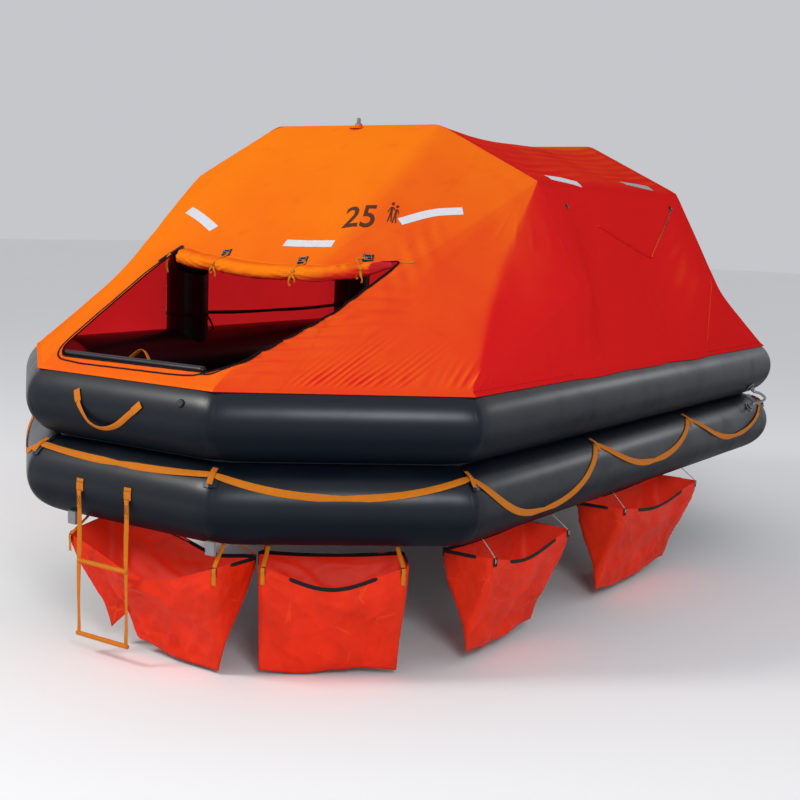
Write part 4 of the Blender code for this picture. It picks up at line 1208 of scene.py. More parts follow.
class RAFT_OT_end_canopies(bpy.types.Operator):
    """Dresses both ends of the canopy, with their doorways, zips, tapes and print"""
    bl_idname = "raft.end_canopies"
    bl_label = "End canopies"

    def execute(self, context):
        grid, keep = open_doorway(end_grid())
        near = cloth_piece("near_end_panel", grid, CABIN_HEART, keep)
        tree = surface_of(near)
        for panel, end in zip(pair(near, "near_end_canopy"), ("near", "far")):
            declared(panel, END_CUT, [end + "_arch_tube", "upper_buoyancy_tube"])
        tape = finish("reflective_tape")
        for number, line in enumerate(TAPES):
            name = f"near_end_tape_{number + 1}"
            pair(laid_strip(name, tree, curved(line), TAPE_WIDTH, tape, 0.0016, columns=7))
        for number, line in enumerate(SEAMS):
            pair(seam_of(f"near_end_seam_{number + 1}", tree, curved(line)))
        pair(figures_on(tree, "25", "near_capacity_figures"))
        pair(pictogram_on(tree, "near_capacity_pictogram"))
        zip_line = self.edge_doorway(tree)
        self.add_sill_tube()
        self.add_corner_ties(tree)
        self.add_zip_pull(tree, zip_line[3:4])
        return {"FINISHED"}

    def edge_doorway(self, tree):
        """The doorway's bound edge, and the zip round its sides and sill, whose line it gives."""
        flat = door_outline()
        dark = finish("zip_tape")
        line, normal = laid(tree, doorway_line(tree, flat), 0.0026)
        pair(pipe("near_doorway_binding", line, 0.0036, dark, 8, closed=True))
        out = unit(np.cross(np.roll(line, -1, 0) - np.roll(line, 1, 0), normal))
        out *= np.sign(((line - line.mean(0)) * out).sum(1).mean())
        start, end = [np.argmin(np.linalg.norm(flat - DOOR_HEAD[k], axis=1)) for k in (-1, 0)]
        order = np.arange(start, start + len(flat)) % len(flat)
        order = order[:list(order).index(end) + 1]
        inset = np.interp(np.linspace(0, 1, len(order)), *ZIP_INSETS.T)[:, None]
        zip_line = softened(line[order] + out[order] * inset, 6, 0)
        pair(laid_strip("near_doorway_zip", tree, zip_line, 0.0085, dark, 0.0030, 0.0020, 3, 0.006))
        return zip_line

    def add_zip_pull(self, tree, at):
        pull = rounded_box("near_zip_pull", (0.008, 0.026, 0.004), (0, 0, 0), finish("dark_plastic"), 0.002)
        seat, up = laid(tree, at, 0.005)
        pull.data.transform(standing(seat[0], up[0]))
        pair(pull)

    def add_sill_tube(self):
        """The small inflated tube that lies on the upper tube along the sill."""
        start, end = SILL_TUBE
        tip = SILL_TUBE_RADIUS * (1 - np.cos(np.linspace(0.1, 1.5, 8)))
        xs = np.concatenate([start + tip, np.linspace(start + 0.03, end - 0.03, 40), end - tip[::-1]])
        inside = np.minimum(xs - start, end - xs)
        radius = SILL_TUBE_RADIUS * np.sqrt(1 - np.clip(1 - inside / SILL_TUBE_RADIUS, 0, 1) ** 2)
        rest = UPPER_Z + TUBE_RADIUS + SILL_TUBE_RADIUS - 0.001
        path = np.stack([xs, np.full(len(xs), -(HALF_LENGTH - TUBE_RADIUS) - 0.004), rest + 0 * xs], 1)
        pair(pipe("near_sill_tube", path, np.maximum(radius, 0.001), finish("tube_rubber"), 24))

    def add_corner_ties(self, tree):
        """A dark loop at the doorway's top left corner, and a pull strap at its top right one."""
        orange = finish("orange_webbing")
        line, up = laid(tree, curved(CORNER_TIE, 6), 0.006)
        pair(ribbon("near_corner_loop", line, up, 0.018, 0.0030, finish("black_webbing")))
        tail = curved(CORNER_TAIL, 6)
        pair(ribbon("near_corner_tail", tail, (0.2, -1, 0.2), 0.012, 0.0020, orange))
        line, up = laid(tree, curved(PULL_STRAP, 6), 0.003)
        pair(ribbon("near_pull_strap", line, up, 0.010, TIE, orange))


def doorway_line(tree, flat):
    """The doorway's outline on the end panel, from its points seen along the raft."""
    points = []
    for x, z in flat:
        hit = tree.ray_cast(Vector((x, -3.5, z)), Vector((0, 1, 0)))[0]
        guess = hit if hit is not None and hit.y < -1.2 else Vector((x, panel_y(x, z), z))
        points.append(tree.find_nearest(guess)[0])
    return np.array(points)


class RAFT_OT_middle_canopies(bpy.types.Operator):
    """Dresses the roof and both sides of the canopy, with the roof tapes, rain gutters and seams"""
    bl_idname = "raft.middle_canopies"
    bl_label = "Roof and side canopies"

    def execute(self, context):
        grid, first, last = middle_grid()
        arches = ["near_arch_tube", "far_arch_tube"]
        tubes = arches + ["upper_buoyancy_tube"]
        for part, columns, cut, rests_on in (("left_side", slice(0, first + 1), SIDE_CUT, tubes),
                                             ("roof", slice(first, last + 1), ROOF_CUT, arches),
                                             ("right_side", slice(last, None), SIDE_CUT, tubes)):
            panel = cloth_piece(part + "_panel", grid[:, columns], CABIN_MIDDLE)
            settle(panel, replaces=[part + "_canopy"])
            declared(panel, cut, rests_on)
        whole = mesh_piece("middle_surface", grid, grid_faces(*grid.shape[:2]))
        tree = surface_of(turned_outwards(whole, CABIN_MIDDLE))
        bpy.data.objects.remove(whole)
        for name, line, width in (("left_eave_seam", grid[:, first], 0.007),
                                  ("right_eave_seam", grid[:, last], 0.007),
                                  ("near_arch_seam", grid[0], 0.012), ("far_arch_seam", grid[-1], 0.012)):
            settle(seam_of(name, tree, line, width))
        for number, (line, tape) in enumerate(zip(ROOF_TAPES, ("reflective_tape", "dull_tape"))):
            for side, turn in SIDES:
                name = f"{side}_roof_tape_{number + 1}"
                points = np.array(line) * (turn, turn, 1)
                settle(laid_strip(name, tree, points, TAPE_WIDTH, finish(tape), 0.0016))
        for side, turn in SIDES:
            self.add_gutter(side, tree, (turn, turn, 1))
        return {"FINISHED"}

    def add_gutter(self, side, tree, turn):
        """A rain gutter: a rolled cloth lip down to its low corner, and above it a dark strip, which is
        painted shade where the gutter opens.
        """
        line = np.array(GUTTER) * turn
        lips = []
        for arm, grows in ((line[:3], 1), (line[2:], -1)):
            path = laid(tree, curved(arm, 10), 0.0035)[0]
            radius = 0.0020 + 0.0035 * np.linspace(0, 1, len(path))[::grows]
            lips.append(pipe("lip", path, radius, finish("canopy_cloth"), 10))
        settle(joined(side + "_rain_gutter", lips))
        dark = finish("dark_plastic")
        profile = ((0, 0.004), (0.012, 0.004), (0.016, 0.002), (0.016, 0), (0, 0))
        details = []
        for point in np.array(GUTTER_EYELETS) * turn:
            seat, normal = laid(tree, point[None], 0.001)
            details.append(turned_piece("dot", profile, standing(seat[0], normal[0]), dark, 20))
        # Painted shade: a flat dark strip where the gutter opens.
        slit = laid_strip("slit", tree, curved(line[2:], 10), 0.006, dark, 0.0072)
        slit.modifiers.clear()
        settle(joined(side + "_gutter_eyelets", details + [slit]))


def panel_y(x, z):
    """Where the near end panel lies over a point seen along the raft."""
    crown, knee = [Vector((p[0], -CREST_Y, p[1])) for p in crest_half()[1:3]]
    down = Vector(tube_points(7.99999, WRAP_ANGLE, UPPER_Z)) - crown
    normals = [across.cross(down) for across in (Vector((1, 0, 0)), knee - crown)]
    return max(crown.y - (n.x * (x - crown.x) + n.z * (z - crown.z)) / n.y for n in normals)


def roll_line():
    """The rolled door's centreline, left to right."""
    head = [Vector(p) for p in DOOR_HEAD]
    head[0] += (head[1] - head[0]).normalized() * ROLL_END_INSETS[0]
    head[-1] += (head[-2] - head[-1]).normalized() * ROLL_END_INSETS[1]
    edge = [Vector((p.x, panel_y(*p), p.y)) for p in head]
    line = []
    for i, at in enumerate(edge):
        along = edge[min(i + 1, len(edge) - 1)] - edge[max(i - 1, 0)]
        normal = Vector(((panel_y(at.x + 0.01, at.z) - at.y) / 0.01, -1,
                         (panel_y(at.x, at.z + 0.01) - at.y) / 0.01))
        line.append(at + normal.cross(along).normalized() * (ROLL_RADIUS + ROLL_DROP))
    return curved(line[::-1], 10)


# The rolled door: its turns round its core, how it hangs between its ties, and the cloth's lap on
# the panel above it.
ROLL_TURNS = 2.5
ROLL_CORE = 0.013
ROLL_SAG = 0.012
ROLL_LAP = 0.052
TURN_STEPS = 24
LAP_STEPS = 9
# Shares of the roll's length at its ties, and from which on its lining shows.
TIE_SHARES = (0.218, 0.628, 0.880)
LINING_SHARE = 0.93
TIE_WIDTH = 0.013
TIE_PATCHES = ((-0.066, -1.836, 1.197), (0.416, -1.846, 1.190), (0.702, -1.714, 1.213))
PATCH_SIDE = 0.050


def near_tie(share, reach):
    return sum(bump_at(share, tie, reach) for tie in TIE_SHARES)


class RAFT_OT_door_rolls(bpy.types.Operator):
    """Dresses both doors, rolled up under their doorways' heads in three ties"""
    bl_idname = "raft.door_rolls"
    bl_label = "Rolled doors"

    def execute(self, context):
        panel = surface_of(bpy.data.objects["near_end_panel"])
        centre = resampled(roll_line(), 0.0095)
        share = np.linspace(0, 1, len(centre))
        down, out = frames_along(centre, (0.0, -0.60, 0.80))
        centre = centre + down * (ROLL_SAG * (1 - near_tie(share, 0.10)) - 0.4 * ROLL_SAG)[:, None]
        turned = np.linspace(0, ROLL_TURNS, int(TURN_STEPS * ROLL_TURNS))[None]
        tight, gathered = near_tie(share, 0.028)[:, None], near_tie(share, 0.085)[:, None]
        thin = 1 - 0.66 * ramp(share, TIE_SHARES[-1], 1.0)[:, None]
        centre = centre - down * (1 - thin) * (ROLL_RADIUS + ROLL_DROP)
        along = share[:, None]
        loose = 1 - ramp(along, 0.10, 0.24)
        wave = layered_noise(along * 19, turned * 7, 101, 2)
        gathers = folds(turned * 7.4 + along * 11 + 1.2 * noise(along * 13, 0, 103), 2, 0.4)
        radius = ROLL_CORE + (ROLL_RADIUS - 0.003 - ROLL_CORE) * (turned / ROLL_TURNS)
        radius = radius * (thin - 0.26 * tight) + 0.0028 * wave
        radius = radius + 0.0062 * gathers * (0.15 + gathered + 0.9 * loose) * thin
        turn = 2 * np.pi * turned + 0.30 * noise(along * 5, 0, 107) - 0.5 * np.pi
        roll = (centre[:, None] + down[:, None] * (radius * np.cos(turn))[..., None]
                + out[:, None] * (radius * np.sin(turn))[..., None])
        grid = np.concatenate([roll, self.lap(centre, down, out, roll[:, -1], panel)], 1)
        door = cloth_piece("near_rolled_door", grid, (0, 0, 0))
        door.data.materials[0] = finish("door_cloth")
        door.data.materials.append(finish("door_lining"))
        lining_from = float(centre[int(LINING_SHARE * len(centre)), 0])
        for face in door.data.polygons:
            face.material_index = 2 if face.center.x > lining_from else 0
        for piece, end in zip(pair(door, "near_door_roll"), ("near", "far")):
            declared(piece, DOOR_CUT, [end + "_end_panel"])
        self.add_ties(grid, share, panel)
        return {"FINISHED"}

    def lap(self, centre, down, out, last, panel):
        """The door's top edge, from the roll's front up over the head and onto the end panel."""
        rise = np.linspace(0, 1, LAP_STEPS + 1)[1:][None, :, None]
        start = last - centre
        height = (start * out).sum(1)[:, None, None]
        slide = (start * down).sum(1)[:, None, None]
        length = ROLL_RADIUS + ROLL_DROP + ROLL_LAP
        lap = (centre[:, None] + down[:, None] * (slide - (length + slide) * rise)
               + out[:, None] * height * (1 - ramp(rise, 0.0, 0.95)))
        flat, normal = laid(panel, lap, -0.0006)
        settled = ramp(rise, 0.45, 0.95)
        return lap * (1 - settled) + flat * settled

    def add_ties(self, grid, share, panel):
        orange = finish("orange_webbing")
        columns = grid.shape[1]
        on_lap = np.arange(columns)[None, :, None] > columns - LAP_STEPS
        normal = facing(grid_normals(grid), np.where(on_lap, np.array((0, -0.6, 0.8)), 0.0))
        ties, patches, frames = [], [], []
        for number, (tie, patch) in enumerate(zip(TIE_SHARES, TIE_PATCHES)):
            i = int(np.argmin(np.abs(share - tie)))
            first = columns - LAP_STEPS - TURN_STEPS
            ring, ups = grid[i, first:], normal[i, first:]
            seat, seat_up = laid(panel, np.array([patch]), 0.003)
            reach = np.linspace(0, 1, 7)[1:, None]
            over, over_up = laid(panel, ring[-1] + (seat[0] - ring[-1]) * reach, 0.0035)
            path = np.concatenate([ring + ups * 0.0028, over])
            ups = np.concatenate([ups, over_up])
            ties.append(ribbon("tie", softened(path, 2, 0), ups, TIE_WIDTH, TIE, orange))
            low, knot = [int(TURN_STEPS * turn) for turn in (0.80, 0.88)]
            for length, swing in ((0.052, 0.010), (0.034, -0.012)):
                swing = swing * (-1) ** number
                hang = ring[low] + np.array(((0, -0.004, 0.002), (swing, -0.012, -0.3 * length),
                                             (swing * 1.7, -0.010, -0.7 * length),
                                             (swing, -0.004, -length)))
                hang = curved(hang, 5)
                twisted = np.array([(0.35 * math.sin(k * 0.5), -1, 0.15) for k in range(len(hang))])
                ties.append(ribbon("tail", hang, twisted, 0.011, TIE, orange))
            at = ring[knot] + ups[knot] * 0.004
            ties.append(rounded_box("knot", (0.018, 0.013, 0.016), at, orange, 0.005))
            patches.append(self.patch(panel, seat[0]))
            frames.append(self.buckle(seat[0], seat_up[0]))
        pair(joined("near_door_ties", ties))
        pair(joined("near_tie_patches", patches))
        pair(joined("near_tie_buckles", frames))

    def patch(self, panel, seat):
        """A square of black webbing sewn on the cloth."""
        line = np.array([seat - PRINT_UP * PATCH_SIDE * 0.55, seat + PRINT_UP * PATCH_SIDE * 0.55])
        return laid_strip("patch", panel, line, PATCH_SIDE, finish("black_webbing"))

    def buckle(self, seat, up):
        """A wire frame with a middle bar, flat on its patch."""
        half = PATCH_SIDE * 0.34
        corners = ((-half, -half), (half, -half), (half, half), (-half, half))
        bars = list(zip(corners, corners[1:] + corners[:1])) + [((-half, 0), (half, 0))]
        wires = []
        for bar in bars:
            line = [standing(seat, up) @ Vector((*point, 0.004)) for point in bar]
            wires.append(pipe("bar", resampled(line, 0.01), 0.0014, finish("buckle_wire"), 8))
        return joined("buckle", wires)


class HullSettings(bpy.types.PropertyGroup):
    rubber: FloatVectorProperty(
        name="Rubber", description="Colour of the clean rubber", default=(0.0030, 0.0060, 0.0110),
        **COLOUR)
    dust: FloatVectorProperty(
        name="Dust", description="Colour of the dust on the rubber", default=(0.010, 0.015, 0.022),
        **COLOUR)
    weld_pinch: FloatProperty(
        name="Weld pinch", description="How far the tubes draw in at their corner welds",
        subtype="DISTANCE", unit="LENGTH", min=0, max=0.02, default=0.0085)
    quilting: FloatProperty(
        name="Quilting", description="Depth of the channels in the floor",
        subtype="DISTANCE", unit="LENGTH", min=0, max=0.02, default=0.006)


# Tube skins: points round them, steps between their rings, their weld tapes and their bond.
TUBE_SIDES = 56
TUBE_TURN = np.linspace(0, 2 * np.pi, TUBE_SIDES, endpoint=False)
RING_STEP = 0.036
# Distances from a corner weld at which the tube has a ring.
WELD_RINGS = np.array((0.003, 0.007, 0.012, 0.018, 0.025, 0.035, 0.047, 0.062, 0.080))
WELD_HALF_WIDTH = 0.026
BOND_RADIUS = 0.024


def tube_places(side):
    """Shares of a side at which the tube has a ring: closer near its corner welds."""
    length = side_length(side)
    even = np.linspace(0, 1, int(length / RING_STEP) + 1)[:-1]
    near = WELD_RINGS / length
    return np.unique(np.round(np.concatenate([even, near, 1 - near]), 5))


def weld_pull(off):
    """How far a tube draws in at a distance from its corner weld."""
    return bpy.context.scene.raft_hull.weld_pinch * np.exp(-((off / 0.034) ** 1.15))


def tube_grid(centre_z, seed):
    """Rings of a hull tube: drawn in at the corner welds, puckered beside them, a little uneven."""
    angle = TUBE_TURN[None]
    grids = []
    for side in range(8):
        length = side_length(side)
        share = tube_places(side)[:, None]
        off = np.minimum(share, 1 - share) * length
        inner = 0.5 - 0.5 * np.cos(angle)
        pucker = 0.0022 * folds(angle * 4.5 + side, 2, 0.3) * np.exp(-off / 0.075) * inner
        swell = 0.0012 * noise(share * length * 3 + side * 9, angle * 1.3, seed)
        radius = TUBE_RADIUS - 0.0008 - weld_pull(off) + pucker + np.minimum(swell, 0)
        grids.append(tube_points(side + share * 0.999999, angle, centre_z, radius))
    return np.concatenate(grids)


def weld_band(side, centre_z):
    """A band of tape round a tube's corner weld, each half on its own side of it."""
    rows = []
    for offset in np.linspace(-WELD_HALF_WIDTH, WELD_HALF_WIDTH, 9):
        place = side + offset / side_length(side if offset >= 0 else (side - 1) % 8)
        edge = 0.0006 * (abs(offset) > 0.95 * WELD_HALF_WIDTH)
        radius = TUBE_RADIUS - 0.0002 - weld_pull(abs(offset)) - edge
        rows.append(tube_points(place % 8, TUBE_TURN, centre_z, radius))
    faces = grid_faces(len(rows), TUBE_SIDES, close_columns=True)
    band = mesh_piece("band", np.stack(rows), faces, [finish("weld_tape")])
    with edited(band) as bm:
        bmesh.ops.recalc_face_normals(bm, faces=bm.faces)
    return thicken(band, 0.0008)


class RAFT_OT_hull(bpy.types.Operator):
    """Dresses both buoyancy tubes with their corner welds and weld tapes, and the arch tubes"""
    bl_idname = "raft.hull"
    bl_label = "Buoyancy tubes"

    def execute(self, context):
        rubber = finish("tube_rubber")
        for name, centre_z, seed in (("lower", LOWER_Z, 201), ("upper", UPPER_Z, 211)):
            grid = tube_grid(centre_z, seed)
            faces = grid_faces(*grid.shape[:2], close_rows=True, close_columns=True)
            tube = tidy_mesh(mesh_piece(name + "_tube_skin", grid, faces, [rubber]))
            settle(tube, replaces=[name + "_buoyancy_tube"])
            bands = [weld_band(side, centre_z) for side in range(8)]
            settle(joined(name + "_weld_tapes", bands))
        seam = tube_points(np.arange(0, 8, 0.05), math.pi / 2, LOWER_Z)
        settle(pipe("tube_bond", seam, BOND_RADIUS, rubber, 12, closed=True))
        for end in ("near", "far"):
            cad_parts[end + "_arch_tube"].material_slots[0].material = rubber
        return {"FINISHED"}


# The floor slab's points along and across, and the step between its channels.
FLOOR_ROWS = 118
FLOOR_COLUMNS = 37
CHANNEL_STEP = 0.155


class RAFT_OT_floor(bpy.types.Operator):
    """Dresses the inflated floor, with the channels that its inner ties draw in it"""
    bl_idname = "raft.floor"
    bl_label = "Floor"

    def execute(self, context):
        low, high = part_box("floor")
        ys = np.linspace(low.y, high.y, FLOOR_ROWS)
        reach = TUBE_RADIUS + math.sqrt(TUBE_RADIUS**2 - (LOWER_Z - high.z) ** 2)
        edge = outline(reach)
        corner_x, corner_y = edge[0][0], -edge[1][1]
        half = np.interp(np.abs(ys), (0, corner_y, high.y), (high.x, high.x, corner_x))
        across = np.linspace(-1, 1, FLOOR_COLUMNS)
        x = half[:, None] * across[None]
        y = np.broadcast_to(ys[:, None], x.shape)
        depth = context.scene.raft_hull.quilting
        inset = np.minimum(1 - np.abs(across)[None], (1 - np.abs(ys / high.y))[:, None]) * 8
        quilt = depth * (1 - np.abs(np.sin(np.pi * y / CHANNEL_STEP)) ** 0.6) * np.clip(inset, 0, 1)
        top = np.stack([x, y, high.z - quilt], -1)
        under = np.stack([x, y, low.z + quilt], -1)
        rows, columns = x.shape
        faces = grid_faces(rows, columns)
        faces += [[a + rows * columns for a in face[::-1]] for face in grid_faces(rows, columns)]
        ring = ([j for j in range(columns)] + [i * columns + columns - 1 for i in range(1, rows)]
                + [(rows - 1) * columns + j for j in range(columns - 2, -1, -1)]
                + [i * columns for i in range(rows - 2, 0, -1)])
        shift = rows * columns
        faces += [[a, b, b + shift, a + shift] for a, b in zip(ring, ring[1:] + ring[:1])]
        slab = mesh_piece("floor_slab", np.stack([top, under]), faces, [finish("floor_cloth")])
        tidy_mesh(slab)
        slab.data.set_sharp_from_angle(angle=SHARP)
        settle(slab, replaces=["floor"])
        return {"FINISHED"}


# The lifeline's width, the angle in degrees at which its loops stand, and the steps of a span.
LINE_WIDTH = 0.034
LIFELINE_TOP = 52
SPAN_STEPS = 36
# Spans round half the hull: side, share at the start and at the end, lowest angle in degrees.
HALF_SPANS = (
    (NEAR_CORNER, 0, 1, 19), (RIGHT_SIDE, 0, 1 / 3, -27), (RIGHT_SIDE, 1 / 3, 2 / 3, -4),
    (RIGHT_SIDE, 2 / 3, 1, -7), (FAR_RIGHT_CORNER, 0, 1, 10), (FAR_END, 0, 1, 42),
)
LIFELINE_SPANS = HALF_SPANS + tuple((side + 4, *span) for side, *span in HALF_SPANS)
# The grab strap's line on the end face and the sill handle's arc on the tube's top.
GRAB_STRAP = ((-0.225, 0.560), (-0.195, 0.500), (-0.135, 0.437), (-0.060, 0.418), (0.030, 0.440),
              (0.110, 0.495), (0.165, 0.540))
SILL_HANDLE = ((-0.215, 0.0), (-0.170, 0.050), (-0.115, 0.078), (-0.060, 0.050), (-0.010, 0.0))
SILL_HANDLE_ANGLE = math.radians(112)
INNER_LINE_Z = 0.78
INNER_LINE_WIDTH = 0.022


class RAFT_OT_lifelines(bpy.types.Operator):
    """Dresses the lifeline round the hull with its patches, and both lines inside the canopy"""
    bl_idname = "raft.lifelines"
    bl_label = "Lifelines"

    def execute(self, context):
        orange = finish("orange_webbing")
        spans, loops, patches = [], [], []
        drop = 2 * np.arange(SPAN_STEPS + 1) / SPAN_STEPS - 1
        off = np.abs(drop)
        width = LINE_WIDTH * (1 - 0.32 * bump_at(drop, 0, 0.0001) - 0.38 * bump_at(off, 1, 0.06))
        for number, (side, start, end, low) in enumerate(LIFELINE_SPANS):
            angle = np.radians(low + (LIFELINE_TOP - low) * off**1.25)
            share = start + (end - start) * (1 + np.sign(drop) * off**0.58) / 2
            place = side + np.clip(share, start, end - 1e-6)
            path = tube_points(place, angle, LOWER_Z, TUBE_RADIUS + 0.0022 + 0.0012 * (1 - off))
            twisted = angle + 0.35 * np.sin(3 * drop + number) * (1 - off)
            ups = np.array([tube_normal(side, at) for at in twisted])
            spans.append(ribbon("span", path, ups, width, LINE, orange))
            loops.append(self.patch_loop(side + start, orange))
            patches.append(self.tube_patch(side + start))
        settle(joined("lifeline_webbing", spans), replaces=["outer_lifeline"])
        settle(joined("lifeline_loops", loops))
        settle(joined("lifeline_patches", patches))
        self.add_inner_lines(finish("black_webbing"))
        return {"FINISHED"}

    def patch_loop(self, place, webbing):
        """A short upright loop, through which the lifeline passes."""
        degrees = np.linspace(LIFELINE_TOP - 15, LIFELINE_TOP + 13, 15)
        over = 0.0045 * np.exp(-(((degrees - LIFELINE_TOP) / 7) ** 2))
        path, ups = tube_band(np.full(15, place + 1e-6), np.radians(degrees), 0.0024 + over)
        return ribbon("loop", path, ups, 0.026, TAB, webbing)

    def tube_patch(self, place):
        """The rubber patch that holds a loop to the tube."""
        angles = np.radians(np.linspace(LIFELINE_TOP - 20, LIFELINE_TOP + 18, 9))
        places = place + np.linspace(-0.036, 0.036, 7) / side_length(int(place) % 8)
        grid = np.stack([tube_points(p, angles, LOWER_Z, TUBE_RADIUS + 0.0011) for p in places])
        patch = mesh_piece("patch", grid, grid_faces(*grid.shape[:2]), [finish("weld_tape")])
        return thicken(turned_outwards(patch, (0, 0, LOWER_Z)), 0.0016)

    def add_inner_lines(self, webbing):
        """Lines between the arches' legs, knotted round each and sagging a little."""
        reach = ARCH_Y - ARCH_RADIUS
        ys = np.linspace(-reach, reach, 61)
        turns = np.linspace(0, 2 * np.pi, 41)
        around = np.stack([np.cos(turns), np.sin(turns), 0 * turns], 1)
        drops = np.array(((0, 0, 0), (-0.02, 0.03, -0.03), (-0.03, 0.055, -0.075), (-0.03, 0.065, -0.115)))
        for side, way in SIDES:
            leg_x = way * ARCH_HALF[0][0]
            x = leg_x + 0.004 * noise(ys * 3, 0, 301 + way)
            z = INNER_LINE_Z - 0.010 * (1 - (ys / reach) ** 2) + 0.003 * noise(ys * 5, 0, 311 + way)
            twist = 0.5 * np.sin(ys * 5 + way)
            ups = np.stack([np.cos(twist), 0 * twist, np.sin(twist)], 1)
            path = np.stack([x, ys, z], 1)
            pieces = [ribbon("line", path, ups, INNER_LINE_WIDTH, LINE, webbing)]
            for y in (-ARCH_Y, ARCH_Y):
                leg = np.array((leg_x, y, INNER_LINE_Z))
                ring = leg + (ARCH_RADIUS + 0.0025) * around
                pieces.append(ribbon("tie", ring, around, INNER_LINE_WIDTH, 0.0024, webbing))
                inner = -math.copysign(1, y)
                seat = leg + (0, inner * (ARCH_RADIUS + 0.010), 0)
                pieces.append(rounded_box("knot", (0.034, 0.026, 0.034), seat, webbing, 0.010))
                hang = curved(seat + drops * (way, inner, 1), 5)
                pieces.append(ribbon("tail", hang, (-way, 0, 0.2), 0.018, STRAP, webbing))
            settle(joined(side + "_inner_line_webbing", pieces),
                   replaces=[side + "_inner_lifeline"])


class RAFT_OT_straps(bpy.types.Operator):
    """Dresses the grab straps on the end faces and the handles inside the doorways"""
    bl_idname = "raft.straps"
    bl_label = "Grab straps and sill handles"

    def execute(self, context):
        orange = finish("orange_webbing")
        flat = curved(GRAB_STRAP, 8)
        share = np.linspace(-1, 1, len(flat))
        stand = 0.0022 + 0.020 * (1 - share**2) ** 2
        off = np.sqrt(TUBE_RADIUS**2 - np.minimum(np.abs(flat[:, 1] - UPPER_Z), TUBE_RADIUS * 0.99) ** 2)
        y = -(HALF_LENGTH - TUBE_RADIUS + off) - np.minimum(stand, HALF_LENGTH + 0.006
                                                           - (HALF_LENGTH - TUBE_RADIUS + off))
        path = np.stack([flat[:, 0], y, flat[:, 1]], 1)
        rise = np.stack([0 * y, -off, flat[:, 1] - UPPER_Z], 1) / TUBE_RADIUS
        lean = rise + np.stack([0 * y, 0 * y, -0.5 * (1 - share**2)], 1)
        pieces = [ribbon("strap", path, lean, 0.028, STRAP, orange)]
        for end in (0, -1):
            along = path[1] - path[0] if end == 0 else path[-2] - path[-1]
            along /= np.linalg.norm(along)
            tab = path[end] + along[None] * np.linspace(-0.020, 0.040, 8)[:, None]
            tab = on_end_face(tab, 0.0052)
            pieces.append(ribbon("tab", tab, rise[end], 0.036, STRAP, orange))
        pair(joined("near_grab_webbing", pieces), "near_grab_strap")
        across, height = curved(SILL_HANDLE, 8).T
        lift = TUBE_RADIUS + 0.0018 + height
        points = tube_points(end_place(across), SILL_HANDLE_ANGLE, UPPER_Z, lift)
        tangent = np.gradient(points, axis=0)
        lean = np.array((0, math.sin(SILL_HANDLE_ANGLE), math.cos(SILL_HANDLE_ANGLE)))
        grip = ribbon("near_sill_webbing", points, np.cross(lean, tangent), 0.024, STRAP, orange)
        pair(grip, "near_sill_handle")
        return {"FINISHED"}


def on_end_face(points, lift):
    """Points moved along Y onto the upper tube's end face, lifted off it."""
    points = points.copy()
    high = np.clip((points[:, 2] - UPPER_Z) / TUBE_RADIUS, -0.99, 0.99)
    points[:, 1] = -(HALF_LENGTH - TUBE_RADIUS + (TUBE_RADIUS + lift) * np.sqrt(1 - high**2))
    return points


# Boarding ladders: their straps' places across the raft, their hinge as (y, z), their rungs, and
# the angles in degrees at which their loops begin and end on the tube.
LADDER_X = (-0.200, 0.105)
LADDER_AXIS = (-(HALF_LENGTH + 0.0045), 0.110)
LADDER_WIDTH = 0.024
RUNG_RADIUS = 0.011
RUNG_Z = (-0.213, -0.560)
LOOP_ANGLES = (-6.4, 11.0)


